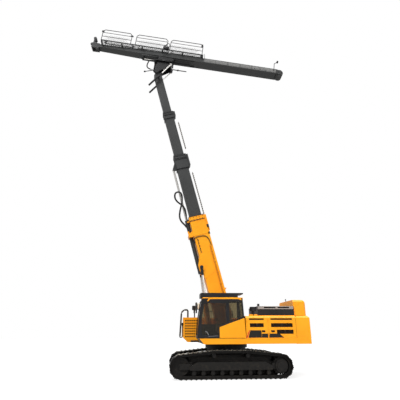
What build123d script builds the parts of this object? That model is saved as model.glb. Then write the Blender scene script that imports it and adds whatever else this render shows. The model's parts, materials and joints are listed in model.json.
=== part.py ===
from build123d import *
import math
import os

# Crawler drill rig: a 50 t class tracked base, a four-section telescopic boom and a sliding drill mast.
# Millimetres. Machine frame: +X forward, +Y to the machine's left, +Z up, zero on the ground at the slew axis.
# Everything is moved by slew_x along X at the end, so that the origin is below the middle of the overall box.

slew_x = -1960
running = 0.3  # gap between faces that slide or turn on each other
clear = 5  # gap round a closed door or lid
overrun = 10  # how far a cutting shape passes through a wall

# Tracks
half_gauge = 1390
shoe_width = 600
wheel_base = 4420
track_end_radius = 520
chain_height = 105
shoe_plate = 20
grouser = 25
shoe_lap = 10  # belt thickness under the shoes, which joins them
chain_width = 220
shoe_pitch = 216
shoe_length_share = 0.90
grouser_foot_share = 0.16
grouser_tip_share = 0.07
carrier_x = 750
carrier_z = 950
carrier_radius = 90
roller_radius = 100
roller_width = 250
roller_axle_radius = 40
roller_sides = 16
belt_sag = 3  # how far the straight links pass inside a carrier roller's circle
roller_count = 9
roller_inset = 180
bracket_thickness = 30
bracket_half_length = 70
bracket_drop = 60
ridge_width = 75
ridge_top = 880
ridge_inset = 70

# Track frame, drawn on the left side
frame_half_width = 210
frame_inner_y = half_gauge - frame_half_width
frame_outer_y = half_gauge + frame_half_width
frame_bottom = 370
frame_top = 700
frame_end_gap = 20  # between the frame's end and the end wheel's rolling circle
frame_taper = 320
frame_axle_radius = 60
idler_width = 130
idler_rim = 60
idler_hub_radius = 130
sprocket_teeth = 21
sprocket_tooth_depth = 34
sprocket_width = 90
drive_radius = 270
drive_depth = 150
wheel_fork = 60
frame_half_length = wheel_base / 2 - (track_end_radius - chain_height - shoe_plate - grouser) - frame_end_gap
roller_span = 2 * (frame_half_length - roller_inset)

# Carbody
body_bottom = 600
body_top = 1000
body_half_length = 820
body_half_width = 620
leg_outer_x = 1240
leg_inner_x = 560
turret_radius = 980
turret_top = 1100
tow_lug_length = 130
tow_lug_thickness = 60
tow_lug_width = 190
tow_bore_radius = 35
tow_z = 800

# Slew bearing
ring_radius = 930
ring_bore = 700
ring_split = 1250
ring_upper_radius = 1000

# Upper frame
deck_bottom = 1420
deck_top = 1660
half_width = 1500
deck_rear = -3050
deck_front = 1400
deck_front_low = 1200
deck_right_front = 1250
deck_well_half = 520
sill_proud = 20
sill_thickness = 60
foot_z = 2050
foot_pin_radius = 70
foot_plate_in = 305
foot_plate_thickness = 60
foot_plate_top_radius = 230
foot_plate_rear = -420
foot_plate_front = 560
lift_pin_x = 800
lift_pin_z = 1750
lift_pin_radius = 45
lift_y = 420

# Cab
cab_inner_y = 545
cab_outer_y = 1520
cab_floor = 1680
cab_mount_height = 20
cab_wall = 60
cab_roof_height = 90
cab_rear = -700
cab_rear_top = -610
cab_roof_z = 3395
cab_front_low = 1500
cab_front_low_z = 1810
cab_front_mid = 1430
cab_front_mid_z = 2530
cab_front_top = 1310
cab_front_top_z = 3300
cab_brow = 1230
glass_thickness = 8
door_front = 1370
door_rear = 100
door_bottom = 1730
door_top = 3260
door_corner_x = 500
door_corner_z = 2140
door_step_z = 2280
door_frame = 75
door_thickness = 55
guard_front = 1330
guard_rear = -650
guard_plate_rear = -400
guard_bottom = 3445
guard_plate_height = 200
guard_tube = 45
guard_bars = 7
band_front = 1060
band_rear = -575
band_rise = 110
band_width = 75
seat_x = 250
seat_width = 520
seat_height = 420
seat_back_height = 700
panel_thickness = 12

# Engine house
house_front = -720
house_split = -1740
house_roof = 2620
house_bevel_z = 2540
house_bevel_width = 100
house_bevel_y = half_width - house_bevel_width
house_wall = 45
door_skin = 40
hinge_post = 30  # body-coloured strip between doors, flush with them
knuckle_radius = 12
knuckle_height = 60
leaf_length = 24
hinge_height_shares = (0.15, 0.80)
vent_rib = 14
# from and to along the door, from and to up the door
front_vents = [(0.125, 0.83, 0.89, 0.97), (0.154, 0.811, 0.535, 0.73), (0.704, 0.868, 0.283, 0.386)]
rear_vents = [(0.086, 0.869, 0.89, 0.97), (0.094, 0.876, 0.535, 0.73), (0.085, 0.219, 0.283, 0.386),
              (0.290, 0.888, 0.205, 0.409)]
hood_hinge_shares = (0.12, 0.82)
engine_length = 900
engine_width = 1300
engine_height = 800

# Counterweight and covers
tail_depth = 658
tail_bulge = 292
tail_bottom = 1410
hood_front = -1390
hood_rear = -3150
hood_left = 1050
hood_right = -950
hood_top = 3080
hood_wall = 30
hood_base = 40
hood_seam = -2310
seam_width = 14
rim_slot_height = 50
rim_slot_ends = (-1700, -2265, -2365, -2930)
cover_setback = 220
cover_top = 3380
cover_left = 950
cover_right = -1350
cover_round = 170
cleaner_x = -1185
cleaner_y = 950
cleaner_radius = 145
cleaner_top = 3050
stub_x = -1500
stub_y = 800
stub_radius = 55
stub_top = 3200

# Right-hand side
box_front = 2050
box_inner_y = 620
box_bottom = 1460
box_top = 2630
box_chamfer = 220
box_slot_rows = 7
box_slot_columns = 6
box_slot_depth = 60
tank_inner_y = 560
tank_rear = -700
tank_top = 2600
tank_round = 60
rail_tube = 24

# Telescopic boom, drawn lying along its own +X with its top on +Z
boom_angle = 75.5
boom_base_length = 5890
boom_foot_radius = 215
boom_foot_taper = 620
base_back = 90  # how far the base reaches behind the inner sections
collar_length = 1070
collar_start = boom_base_length - collar_length
collar_proud = 32
flange_length = 260
housing_half_width = 190
housing_lead = 200
bracket_nose = -640
bracket_length = 310
bracket_plate = 18
foot_lug_u = 1880
foot_lug_reach = 110
foot_lug_half = 55
arc_points = 9
lift_ear_u = 3160
lift_ear_w = -420
lift_ear_radius = 130
doubler = 18

# Lift cylinders
lift_barrel_radius = 92
lift_bore_radius = 76
lift_rod_radius = 60
lift_barrel_length = 1930
lift_bore_start = 160
lift_rod_length = 2100
lift_eye_radius = 82

# Telescope cylinder
tele_w = -512
tele_radius = 105
tele_bore_radius = 80
tele_rod_radius = 58
tele_start = 2900
tele_end_setback = 90
tele_end = boom_base_length - tele_end_setback
tele_rod_start = 5250
tele_eye_u = 8790

# Boom tip, tilt cylinders
tip_u = 15390
tip_boss_radius = 108
tip_pin_radius = 50
tip_plate_in = 260
tip_plate_thickness = 40
trunnion_u = 14935
trunnion_radius = 50
tilt_y = 366
tilt_barrel_radius = 55
tilt_bore_radius = 44
tilt_rod_radius = 34
tilt_barrel_below = 867
tilt_barrel_above = 300
tilt_eye_radius = 66

# Mast, drawn with its own origin on the beam's underside above the swing axis
mast_x = 3340
mast_z = 18030
mast_angle = 7.0
tilt_eye_place = -396
tilt_eye_level = -596
head_plate_half = 450
head_plate_front = 670
head_plate_half_width = 400
head_plate_level = -400
bearing_level = -360
bearing_radius = 380
bearing_split = -320
saddle_level = -280
saddle_plate = 40
saddle_rear = -500
saddle_front = 430
saddle_half_width = 330
drive_place = 440
drive_low = -950
drive_drum_radius = 200
drive_ring_radius = 218
drive_ring_height = 36
drive_ring_count = 5
guide_bar_radius = 22
guide_bar_front = 1157
guide_bar_drop = 130
guide_knob_radius = 45
arm_radius = 28
arm_rear = -1387
arm_level = -640
arm_knob_place = -850
arm_plate_drop = 130

# Hoses, each a route of (along, across, up) points in its carrier's own frame
gland_half = 38
gland_length = 60
hose_bend_share = 0.45
hose_radius = 27.5
hose_start_u = 5150
hose_start_y = 220
hose_start_w = -600
hose_end_u = 5700
hose_end_y = 150
hose_end_w = -490
boom_hose_route = [(hose_start_u, hose_start_y, hose_start_w), (5420, hose_start_y, hose_start_w), (5800, 220, -860),
                   (6200, 222, -840), (6900, 226, -470), (7420, 215, -430), (7460, 185, -790), (7006, 160, -862),
                   (6550, 155, -440), (6050, hose_end_y, hose_end_w), (hose_end_u, hose_end_y, hose_end_w)]
head_hose_radius = 17.5
head_hose_y = 280
head_gland_place = 530
head_gland_level = -1100
head_hose_end = -380
head_hose_route = [(head_gland_place, head_hose_y, head_gland_level), (780, head_hose_y, head_gland_level),
                   (1050, 284, -950), (1020, 284, -620), (930, head_hose_y, head_hose_end),
                   (head_plate_front, head_hose_y, head_hose_end)]

beam_rear = -7040
beam_taper = -340
beam_front = 4200
beam_height = 310
beam_rise = 90
beam_half_width = 320
beam_front_half_width = 205
beam_side_wall = 24
beam_floor = 26
slide_rail_y = 225
slide_rail_half = 32
slide_rail_depth = 60
slide_rail_rear = -1800
slide_rail_front = 1500
slide_lug_place = 1350
slide_cylinder_level = -130
slide_barrel_radius = 50
slide_bore_radius = 40
slide_rod_radius = 28
slide_barrel_rear = -1550
slide_barrel_front = 400
slide_rod_rear = -600

string_level = 185
string_radius = 45
coupling_count = 4
string_rear = -5850
string_front = 4640
string_pin_radius = 36
string_pin_length = 90
carriage_rear = -6650
head_radius = 140
clamp_rear = 4140
clamp_front = 4640
roller_arm_y = 150
roller_arm_thickness = 30
roller_arm_depth = 90
top_roller_level = 760
top_roller_radius = 95
side_roller_radius = 110
side_roller_width = 60
side_roller_level = 235
drum_place = -7178
drum_level = 136
drum_radius = 238
drum_half_width = 230
drum_gap = 6
drum_axle_radius = 60

walk_rear = -2290
walk_front = 4090
walk_half_width = 450
walk_lift = 80
bearer_count = 6
walk_plate = 25
toe_height = 60
grate_bars = 9
grate_ties = 9
grate_bar = 12
rail_height = 910
rail_radius = 20
rail_corner = 130

# name, inner end, outer end, outer height, outer width, wall, collar start, collar thickness
sections = [
    ("boom_section_2", 4890, 9590, 620, 500, 16, 8730, 40),
    ("boom_section_3", 8600, 12470, 530, 420, 14, 12030, 34),
    ("boom_section_4", 11500, tip_u, 470, 340, 12, None, 0),
]
base_height = 740
base_width = 600
base_wall = 18

os.makedirs("parts", exist_ok=True)


def box(x0, x1, y0, y1, z0, z1):
    """A block between two corners."""
    solid = Box(abs(x1 - x0), abs(y1 - y0), abs(z1 - z0))
    return Pos((x0 + x1) / 2, (y0 + y1) / 2, (z0 + z1) / 2) * solid


def side(points, y0, y1):
    """A side outline of (x, z) points, from y0 to y1."""
    face = Face(Wire.make_polygon([(x, y0, z) for x, z in points]))
    return Solid.extrude(face, Vector(0, y1 - y0, 0))


def plan(points, z0, z1):
    """A plan outline of (x, y) points, from z0 to z1."""
    face = Face(Wire.make_polygon([(x, y, z0) for x, y in points]))
    return Solid.extrude(face, Vector(0, 0, z1 - z0))


def across(points, x0, x1):
    """A cross-section of (y, z) points, from x0 to x1."""
    face = Face(Wire.make_polygon([(x0, y, z) for y, z in points]))
    return Solid.extrude(face, Vector(x1 - x0, 0, 0))


def rod(start, end, radius):
    """A round bar between two points."""
    a, b = Vector(start), Vector(end)
    return Solid.make_cylinder(radius, (b - a).length, Plane(origin=a, z_dir=b - a))


def pin_y(x, z, radius, y0, y1):
    """A round bar along Y."""
    return rod((x, y0, z), (x, y1, z), radius)


def prism_y(x, z, radius, y0, y1, sides):
    """A many-sided bar along Y."""
    turn = 2 * math.pi / sides
    ring = [(x + radius * math.cos(turn * (i + 0.5)), z + radius * math.sin(turn * (i + 0.5)))
            for i in range(sides)]
    return side(ring, y0, y1)


def mirrored(shape):
    """The same piece on the other side of the machine."""
    return mirror(shape, Plane.XZ)


def both(shape):
    """A piece and its twin, as one set of solids."""
    return Compound(children=[*solids(shape), *solids(mirrored(shape))])


def solids(shape):
    """The separate solids of a shape."""
    return list(shape.solids())


def group(shapes):
    """Solids that don't touch, as one node."""
    return Compound(children=[s for shape in shapes for s in solids(shape)])


def save(name, shape, place=None):
    """Moves a piece to its place and writes it."""
    if place is not None:
        shape = place * shape
    shape = Pos(slew_x, 0, 0) * shape
    shape.label = name
    export_step(shape, "parts/" + name + ".step")


def tangent_angle(a, b):
    """The direction of the outer tangent that runs from circle a to circle b, keeping both on its right."""
    dx, dz = b[0] - a[0], b[1] - a[1]
    return math.atan2(dz, dx) + math.asin((b[2] - a[2]) / math.hypot(dx, dz))


def loop_path(circles):
    """Straight and curved stretches of a belt round circles given clockwise as (x, z, radius)."""
    count = len(circles)
    angles = [tangent_angle(circles[i], circles[(i + 1) % count]) for i in range(count)]
    path = []
    for i in range(count):
        c, arrive, leave = circles[i], angles[i - 1], angles[i]
        turn = (arrive - leave) % (2 * math.pi)
        path.append(("arc", c, arrive, turn))
        n, d = circles[(i + 1) % count], angles[i]
        start = (c[0] - c[2] * math.sin(d), c[1] + c[2] * math.cos(d))
        end = (n[0] - n[2] * math.sin(d), n[1] + n[2] * math.cos(d))
        path.append(("line", start, d, math.dist(start, end)))
    return path


def path_length(path):
    """The length of the whole belt."""
    return sum(p[3] * p[1][2] if p[0] == "arc" else p[3] for p in path)


def path_point(path, s):
    """Place and heading at a distance s along the belt."""
    for kind, where, heading, size in path:
        length = size * where[2] if kind == "arc" else size
        if s <= length:
            if kind == "line":
                return where[0] + s * math.cos(heading), where[1] + s * math.sin(heading), heading
            now = heading - s / where[2]
            return where[0] - where[2] * math.sin(now), where[1] + where[2] * math.cos(now), now
        s -= length
    return path_point(path, 0)


def offset_point(point, along, out):
    """A point beside the belt's inner line."""
    x, z, heading = point
    ca, sa = math.cos(heading), math.sin(heading)
    return x + along * ca - out * sa, z + along * sa + out * ca


def track_circles():
    """Idler, sprocket and carrier rollers as the belt meets them, clockwise as seen from the right."""
    inner = track_end_radius - chain_height - shoe_plate - grouser
    half = wheel_base / 2
    return [
        (-half, track_end_radius, inner),
        (-carrier_x, carrier_z, carrier_radius),
        (carrier_x, carrier_z, carrier_radius),
        (half, track_end_radius, inner),
    ]


def track():
    """One closed belt: chain, shoe plates and grousers as one outline each."""
    path = loop_path(track_circles())
    total = path_length(path)
    count = round(total / shoe_pitch)
    pitch = total / count
    half_shoe = pitch * shoe_length_share / 2
    foot, tip = pitch * grouser_foot_share, pitch * grouser_tip_share
    outer, belt, links, rolling = [], [], [], []
    for i in range(count):
        p = path_point(path, (i + 0.5) * pitch)
        joint = path_point(path, i * pitch)
        top = chain_height + shoe_plate
        shoe = [(-half_shoe, chain_height), (-half_shoe, top), (-foot, top), (-tip, top + grouser),
                (tip, top + grouser), (foot, top), (half_shoe, top), (half_shoe, chain_height)]
        outer += [offset_point(p, along, out) for along, out in shoe]
        belt += [offset_point(q, 0, chain_height - shoe_lap) for q in (joint, p)]
        links += [offset_point(q, 0, chain_height) for q in (joint, p)]
        rolling += [offset_point(q, 0, 0) for q in (joint, p)]
    y0, y1 = half_gauge - shoe_width / 2, half_gauge + shoe_width / 2
    shoes = side(outer, y0, y1) - side(belt, y0 - overrun, y1 + overrun)
    c0, c1 = half_gauge - chain_width / 2, half_gauge + chain_width / 2
    chain = side(links, c0, c1) - side(rolling, c0 - overrun, c1 + overrun)
    return shoes + chain


def roller_height():
    """The lower rollers' axle height: a flat of each rests on the chain."""
    flat = roller_radius * math.cos(math.pi / roller_sides)
    return chain_height + shoe_plate + grouser + flat + running


def track_frame():
    """Side frame with its inner ridge and skirt, the roller brackets and the forks of the end wheels."""
    half = wheel_base / 2
    y0, y1 = frame_inner_y, frame_outer_y
    outline = [(-frame_half_length, frame_bottom), (frame_half_length, frame_bottom),
               (frame_half_length, (frame_bottom + frame_top) / 2), (frame_half_length - frame_taper, frame_top),
               (frame_taper - frame_half_length, frame_top), (-frame_half_length, (frame_bottom + frame_top) / 2)]
    frame = side(outline, y0, y1)
    wheel_half = idler_width / 2 + wheel_fork / 2
    for y in (half_gauge - wheel_half - wheel_fork, half_gauge + wheel_half):
        for end in (-1, 1):
            frame += box(end * (frame_half_length - overrun), end * (half + frame_axle_radius), y, y + wheel_fork,
                         track_end_radius - frame_axle_radius * 2, track_end_radius + frame_axle_radius * 2)
    roller_z = roller_height()
    for i in range(roller_count):
        x = roller_span * (i / (roller_count - 1) - 0.5)
        for y in (half_gauge - roller_width / 2 - bracket_thickness, half_gauge + roller_width / 2):
            frame += box(x - bracket_half_length, x + bracket_half_length, y, y + bracket_thickness,
                         roller_z - bracket_drop, frame_bottom + overrun)
    for x in (-carrier_x, carrier_x):
        frame += box(x - bracket_half_length, x + bracket_half_length, y0,
                     half_gauge - roller_width / 2, frame_top - overrun, carrier_z + bracket_half_length)
    skirt = roller_span / 2 + bracket_half_length
    inner = half_gauge - roller_width / 2
    frame += box(-skirt, skirt, inner - bracket_thickness, inner, roller_z - bracket_drop, frame_bottom + overrun)
    ridge = frame_half_length - ridge_inset
    frame += side([(-ridge, track_end_radius), (ridge, track_end_radius), (ridge, frame_top + ridge_width),
                   (ridge - frame_taper, ridge_top), (frame_taper - ridge, ridge_top),
                   (-ridge, frame_top + ridge_width)], y0, y0 + ridge_width)
    return frame


def track_rollers():
    """Lower rollers between their brackets, and the two carrier rollers."""
    out = []
    roller_z = roller_height()
    half = roller_width / 2
    for i in range(roller_count):
        x = roller_span * (i / (roller_count - 1) - 0.5)
        out.append(prism_y(x, roller_z, roller_radius, half_gauge - half, half_gauge + half, roller_sides))
    for x in (-carrier_x, carrier_x):
        out.append(prism_y(x, carrier_z, carrier_radius - belt_sag, half_gauge - half, half_gauge + half,
                           roller_sides))
    return out


def end_wheel_radius():
    """The rolling radius of the idler and the sprocket, inside the straight links."""
    inner = track_end_radius - chain_height - shoe_plate - grouser
    return inner * math.cos(shoe_pitch / inner / 4) - running


def idler():
    """Front wheel with a recessed web and its hub between the forks."""
    half, x, z, r = idler_width / 2, wheel_base / 2, track_end_radius, end_wheel_radius()
    wheel = pin_y(x, z, r, half_gauge - half, half_gauge + half)
    for s in (-1, 1):
        face = half_gauge + s * half
        web = pin_y(x, z, r - idler_rim, face - s * half / 2, face + s * overrun)
        wheel -= web - pin_y(x, z, idler_hub_radius, face - s * half, face + s * half)
    reach = half + wheel_fork / 2
    return wheel + pin_y(x, z, frame_axle_radius, half_gauge - reach, half_gauge + reach)


def sprocket():
    """Toothed drive wheel with its hub drum."""
    x, z, r = -wheel_base / 2, track_end_radius, end_wheel_radius()
    ring = []
    step = 2 * math.pi / sprocket_teeth
    for i in range(sprocket_teeth):
        for turn_share, depth_share in ((0, 0), (0.25, 0), (0.42, 1), (0.83, 1)):
            radius = r - sprocket_tooth_depth * depth_share
            angle = step * (i + turn_share)
            ring.append((x + radius * math.cos(angle), z + radius * math.sin(angle)))
    half = sprocket_width / 2
    wheel = side(ring, half_gauge - half, half_gauge + half)
    reach = idler_width / 2 + wheel_fork / 2
    return wheel + pin_y(x, z, idler_hub_radius, half_gauge - reach, half_gauge + reach)


def final_drive():
    """Round gear case outside the sprocket, on the fork's outer face."""
    x, z = -wheel_base / 2, track_end_radius
    face = half_gauge + idler_width / 2 + wheel_fork * 1.5
    case = pin_y(x, z, drive_radius, face, face + drive_depth * 0.4)
    return case + pin_y(x, z, drive_radius * 0.72, face, face + drive_depth * 0.66)


def carbody():
    """Cross-shaped body between the track frames, with the turret and the tow lugs."""
    half_l, half_w = body_half_length, body_half_width
    leg = plan([(leg_inner_x, 0), (leg_outer_x, frame_inner_y), (leg_inner_x, frame_inner_y), (0, half_w)],
               body_bottom, body_top - (turret_top - body_top) / 2)
    legs = leg + mirror(leg, Plane.YZ)
    body = box(-half_l, half_l, -half_w, half_w, body_bottom, body_top) + legs + mirrored(legs)
    body += Solid.make_cylinder(turret_radius, turret_top - body_bottom, Plane(origin=(0, 0, body_bottom)))
    for s in (-1, 1):
        x0 = s * (half_l - overrun)
        x1 = s * (turret_radius + tow_lug_length)
        half = tow_lug_thickness / 2
        hole_x = x1 - s * tow_lug_length / 2
        body += box(x0, x1, -tow_lug_width / 2, tow_lug_width / 2, tow_z - half, tow_z + half)
        body -= rod((hole_x, 0, tow_z - tow_lug_thickness), (hole_x, 0, tow_z + tow_lug_thickness), tow_bore_radius)
    return body


def slew_ring(bottom, top, radius):
    """One half of the slew bearing."""
    height = top - bottom
    at = Plane(origin=(0, 0, bottom))
    return Solid.make_cylinder(radius, height, at) - Solid.make_cylinder(ring_bore, height, at)


def deck_frame():
    """Upper frame: floor plate, boom well walls, foot plates and the pins they carry."""
    outline = [(deck_rear, -half_width + sill_thickness), (deck_right_front, -half_width + sill_thickness),
               (deck_right_front, -deck_well_half), (deck_front, -deck_well_half),
               (deck_front, half_width - sill_thickness), (deck_rear, half_width - sill_thickness)]
    deck = plan(outline, deck_bottom, deck_top)
    nose = side([(deck_front_low, deck_bottom), (deck_front, deck_bottom), (deck_front, deck_top)],
                -half_width, half_width)
    deck -= nose
    plate = [(foot_plate_rear, deck_top - overrun), (foot_plate_front, deck_top - overrun)]
    for i in range(arc_points):
        angle = math.radians(20 + 140 * i / (arc_points - 1))
        plate.append((foot_plate_top_radius * math.cos(angle), foot_z + foot_plate_top_radius * math.sin(angle)))
    outer = foot_plate_in + foot_plate_thickness
    cheek = side(plate, foot_plate_in, outer)
    deck += cheek + mirrored(cheek)
    deck += pin_y(0, foot_z, foot_pin_radius, -outer, outer)
    lug_half = lift_eye_radius
    inner = lift_y - lift_eye_radius
    for y0, y1 in ((foot_plate_in, inner - running), (lift_y + lift_eye_radius + running, cab_inner_y - overrun)):
        lug = box(lift_pin_x - lug_half, lift_pin_x + lug_half, y0, y1, deck_top - overrun,
                  lift_pin_z + lift_pin_radius * 1.6)
        deck += lug + mirrored(lug)
    pin = pin_y(lift_pin_x, lift_pin_z, lift_pin_radius, foot_plate_in, cab_inner_y - overrun)
    return deck + pin + mirrored(pin)


def side_sill():
    """Box section along the deck's edge, proud of the doors, with a raked front end."""
    y0, y1 = half_width - sill_thickness, half_width + sill_proud
    return side([(deck_rear, deck_bottom), (deck_front_low, deck_bottom), (deck_front, deck_top),
                 (deck_rear, deck_top)], y0, y1)


def right_sill():
    """The same section on the right, square at the front where the storage box hangs."""
    y0, y1 = half_width - sill_thickness, half_width + sill_proud
    return mirrored(side([(deck_rear, deck_bottom), (deck_right_front, deck_bottom), (deck_right_front, deck_top),
                          (deck_rear, deck_top)], y0, y1))


def cab_outline(inset):
    """The cab seen from the side, moved in by a wall."""
    return [(cab_rear + inset, cab_floor + inset), (cab_front_low - inset, cab_floor + inset),
            (cab_front_low - inset, cab_front_low_z), (cab_front_mid - inset, cab_front_mid_z),
            (cab_front_top - inset, cab_front_top_z - inset), (cab_brow - inset, cab_roof_z - inset),
            (cab_rear_top + inset, cab_roof_z - inset)]


def cab_x_front(z):
    """The cab's front face at a height."""
    if z < cab_front_mid_z:
        share = (z - cab_front_low_z) / (cab_front_mid_z - cab_front_low_z)
        return cab_front_low + (cab_front_mid - cab_front_low) * share
    share = (z - cab_front_mid_z) / (cab_front_top_z - cab_front_mid_z)
    return cab_front_mid + (cab_front_top - cab_front_mid) * share


def cab_x_rear(z):
    """The cab's rear face at a height."""
    share = (z - cab_floor) / (cab_roof_z - cab_floor)
    return cab_rear + (cab_rear_top - cab_rear) * share


def door_outline(inset):
    """The cab door's outline, moved in by a margin."""
    front_top = door_front - (cab_front_mid - cab_front_top) - inset
    return [(door_corner_x + inset / 2, door_bottom + inset), (door_front - inset, door_bottom + inset),
            (door_front - inset, cab_front_mid_z), (front_top, door_top - inset),
            (door_rear + inset, door_top - inset), (door_rear + inset, door_step_z + inset / 2),
            (door_corner_x + inset / 2, door_corner_z + inset / 2)]


def quarter_window(inset):
    """The rear side window's outline."""
    post = door_rear - cab_wall
    sill_front = door_step_z + (door_corner_z - cab_floor) / 4
    return [(post - inset, sill_front + inset), (post - inset, door_top - inset),
            (cab_x_rear(door_top) + cab_wall + inset, door_top - inset),
            (cab_x_rear(cab_front_mid_z) + cab_wall + inset, sill_front + door_frame + inset)]


def front_window(inset):
    """The front glass as (y, z) points."""
    y0, y1 = cab_inner_y + cab_wall + inset, cab_outer_y - cab_wall - inset
    return [(y0, cab_front_low_z + inset), (y1, cab_front_low_z + inset),
            (y1, cab_front_top_z - cab_wall - inset), (y0, cab_front_top_z - cab_wall - inset)]


def rear_window(inset):
    """The rear glass as (y, z) points."""
    y0, y1 = cab_inner_y + cab_wall * 2 + inset, cab_outer_y - cab_wall * 2 - inset
    low = cab_front_mid_z + cab_wall
    return [(y0, low + inset), (y1, low + inset), (y1, door_top - inset), (y0, door_top - inset)]


def right_window(inset):
    """The cab's boom-side window."""
    return [(cab_rear_top + cab_wall * 2 + inset, door_step_z + inset), (door_front - cab_wall - inset,
            door_step_z + inset), (door_front - cab_wall * 3 - inset, door_top - inset),
            (cab_rear_top + cab_wall * 2 + inset, door_top - inset)]


def cab_frame():
    """Hollow cab body with its door and window openings cut, on four short mounts."""
    shell = side(cab_outline(0), cab_inner_y, cab_outer_y)
    shell -= side(cab_outline(cab_wall), cab_inner_y + cab_wall, cab_outer_y - cab_wall)
    shell -= side(door_outline(-clear), cab_outer_y - cab_wall - overrun, cab_outer_y + overrun)
    shell -= side(quarter_window(0), cab_outer_y - cab_wall - overrun, cab_outer_y + overrun)
    shell -= side(right_window(0), cab_inner_y - overrun, cab_inner_y + cab_wall + overrun)
    shell -= across(front_window(0), cab_brow - cab_wall * 2, cab_front_low + overrun)
    shell -= across(rear_window(0), cab_rear - overrun, cab_rear_top + cab_wall * 2)
    for x in (cab_rear + cab_wall, cab_front_mid - cab_wall * 4):
        for y in (cab_inner_y + cab_wall * 2, cab_outer_y - cab_wall * 3):
            shell += box(x, x + cab_wall * 2, y, y + cab_wall, deck_top, cab_floor + overrun)
    for share in hinge_height_shares:
        z = door_step_z + (door_top - door_step_z) * share + knuckle_height + running
        shell += hinge_half(door_rear - clear / 2, cab_outer_y, z, -1)
    return shell


def cab_roof():
    """Roof cap with a bevelled edge, on the frame."""
    over = cab_wall / 3
    cap = box(cab_rear_top - over, cab_brow + over, cab_inner_y + over, cab_outer_y - over, cab_roof_z,
              cab_roof_z + cab_roof_height / 2)
    return chamfer(cap.edges().group_by(Axis.Z)[-1], cab_roof_height / 5)


def cab_side_panel():
    """Painted skin over the lower rear of the cab's left side."""
    outline = [(cab_rear, cab_floor), (door_corner_x - clear * 2, cab_floor),
               (door_corner_x - clear * 2, door_corner_z - clear), (door_rear - cab_wall / 2, door_step_z + clear),
               (cab_x_rear(cab_front_mid_z), cab_front_mid_z)]
    return side(outline, cab_outer_y, cab_outer_y + panel_thickness)


def cab_band():
    """Painted band that arches over the door along the roof's left edge."""
    top = cab_roof_z + cab_roof_height / 2
    low = door_top + clear * 2
    outer = [(band_front, low), (band_front - band_rise / 2, low + band_rise / 2), (band_front - band_rise, top - clear),
             (band_front - band_rise * 3, top), (band_rear + band_rise, top), (band_rear, low + band_rise / 2)]
    inner = [(band_rear + band_width, low + band_rise / 2), (band_rear + band_rise + band_width / 2, top - band_width),
             (band_front - band_rise * 3, top - band_width), (band_front - band_rise - band_width / 2,
                                                              top - band_width - clear),
             (band_front - band_width, low)]
    return side(outer + inner, cab_outer_y, cab_outer_y + panel_thickness)


def cab_door():
    """Door frame with its window cut and its grab handle."""
    y0, y1 = cab_outer_y - door_thickness, cab_outer_y
    door = side(door_outline(0), y0, y1)
    door -= side(door_outline(door_frame), y0 - overrun, y1 + overrun)
    for share in hinge_height_shares:
        door += hinge_half(door_rear - clear / 2, y1, door_step_z + (door_top - door_step_z) * share, 1)
    return door


def cab_glass():
    """Fixed panes: front, rear, boom side and rear quarter, each in the middle of its wall."""
    mid = cab_wall / 2
    half = glass_thickness / 2
    quarter = side(quarter_window(0), cab_outer_y - mid - half, cab_outer_y - mid + half)
    inner = side(right_window(0), cab_inner_y + mid - half, cab_inner_y + mid + half)
    y0, y1 = cab_inner_y + cab_wall, cab_outer_y - cab_wall
    z0, z1 = cab_front_low_z, cab_front_top_z - cab_wall
    front = side([(cab_x_front(z0) - mid, z0), (cab_x_front(z0) - mid + glass_thickness, z0),
                  (cab_front_mid - mid + glass_thickness, cab_front_mid_z),
                  (cab_x_front(z1) - mid + glass_thickness, z1), (cab_x_front(z1) - mid, z1),
                  (cab_front_mid - mid, cab_front_mid_z)], y0, y1)
    low, high = cab_front_mid_z + cab_wall, door_top
    rear = side([(cab_x_rear(low) + mid, low), (cab_x_rear(low) + mid + glass_thickness, low),
                 (cab_x_rear(high) + mid + glass_thickness, high), (cab_x_rear(high) + mid, high)],
                y0 + cab_wall, y1 - cab_wall)
    return group([quarter, inner, front, rear])


def door_glass():
    """The door's pane."""
    mid = cab_outer_y - door_thickness / 2
    return side(door_outline(door_frame), mid - glass_thickness / 2, mid + glass_thickness / 2)


def cab_seat():
    """Operator's seat on its base, with the two consoles."""
    y = (cab_inner_y + cab_outer_y) / 2
    floor = cab_floor + cab_wall
    half = seat_width / 2
    depth = seat_width * 0.95
    back = seat_width * 0.22
    lift = seat_height * 0.35
    seat = box(seat_x - half * 0.6, seat_x + half * 0.7, y - half * 0.6, y + half * 0.6, floor, floor + lift)
    seat += box(seat_x - half, seat_x + depth - half, y - half, y + half, floor + lift, floor + seat_height)
    seat += side([(seat_x - half, floor + lift), (seat_x - half + back, floor + lift),
                  (seat_x - half + back / 2, floor + seat_height + seat_back_height),
                  (seat_x - half - back / 2, floor + seat_height + seat_back_height)],
                 y - half * 0.9, y + half * 0.9)
    arm = seat_width * 0.16
    for s in (-1, 1):
        edge = y + s * half
        seat += box(seat_x - half * 0.4, seat_x + half * 1.5, edge, edge + s * arm, floor + lift,
                    floor + seat_height * 1.45)
    return seat


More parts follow.
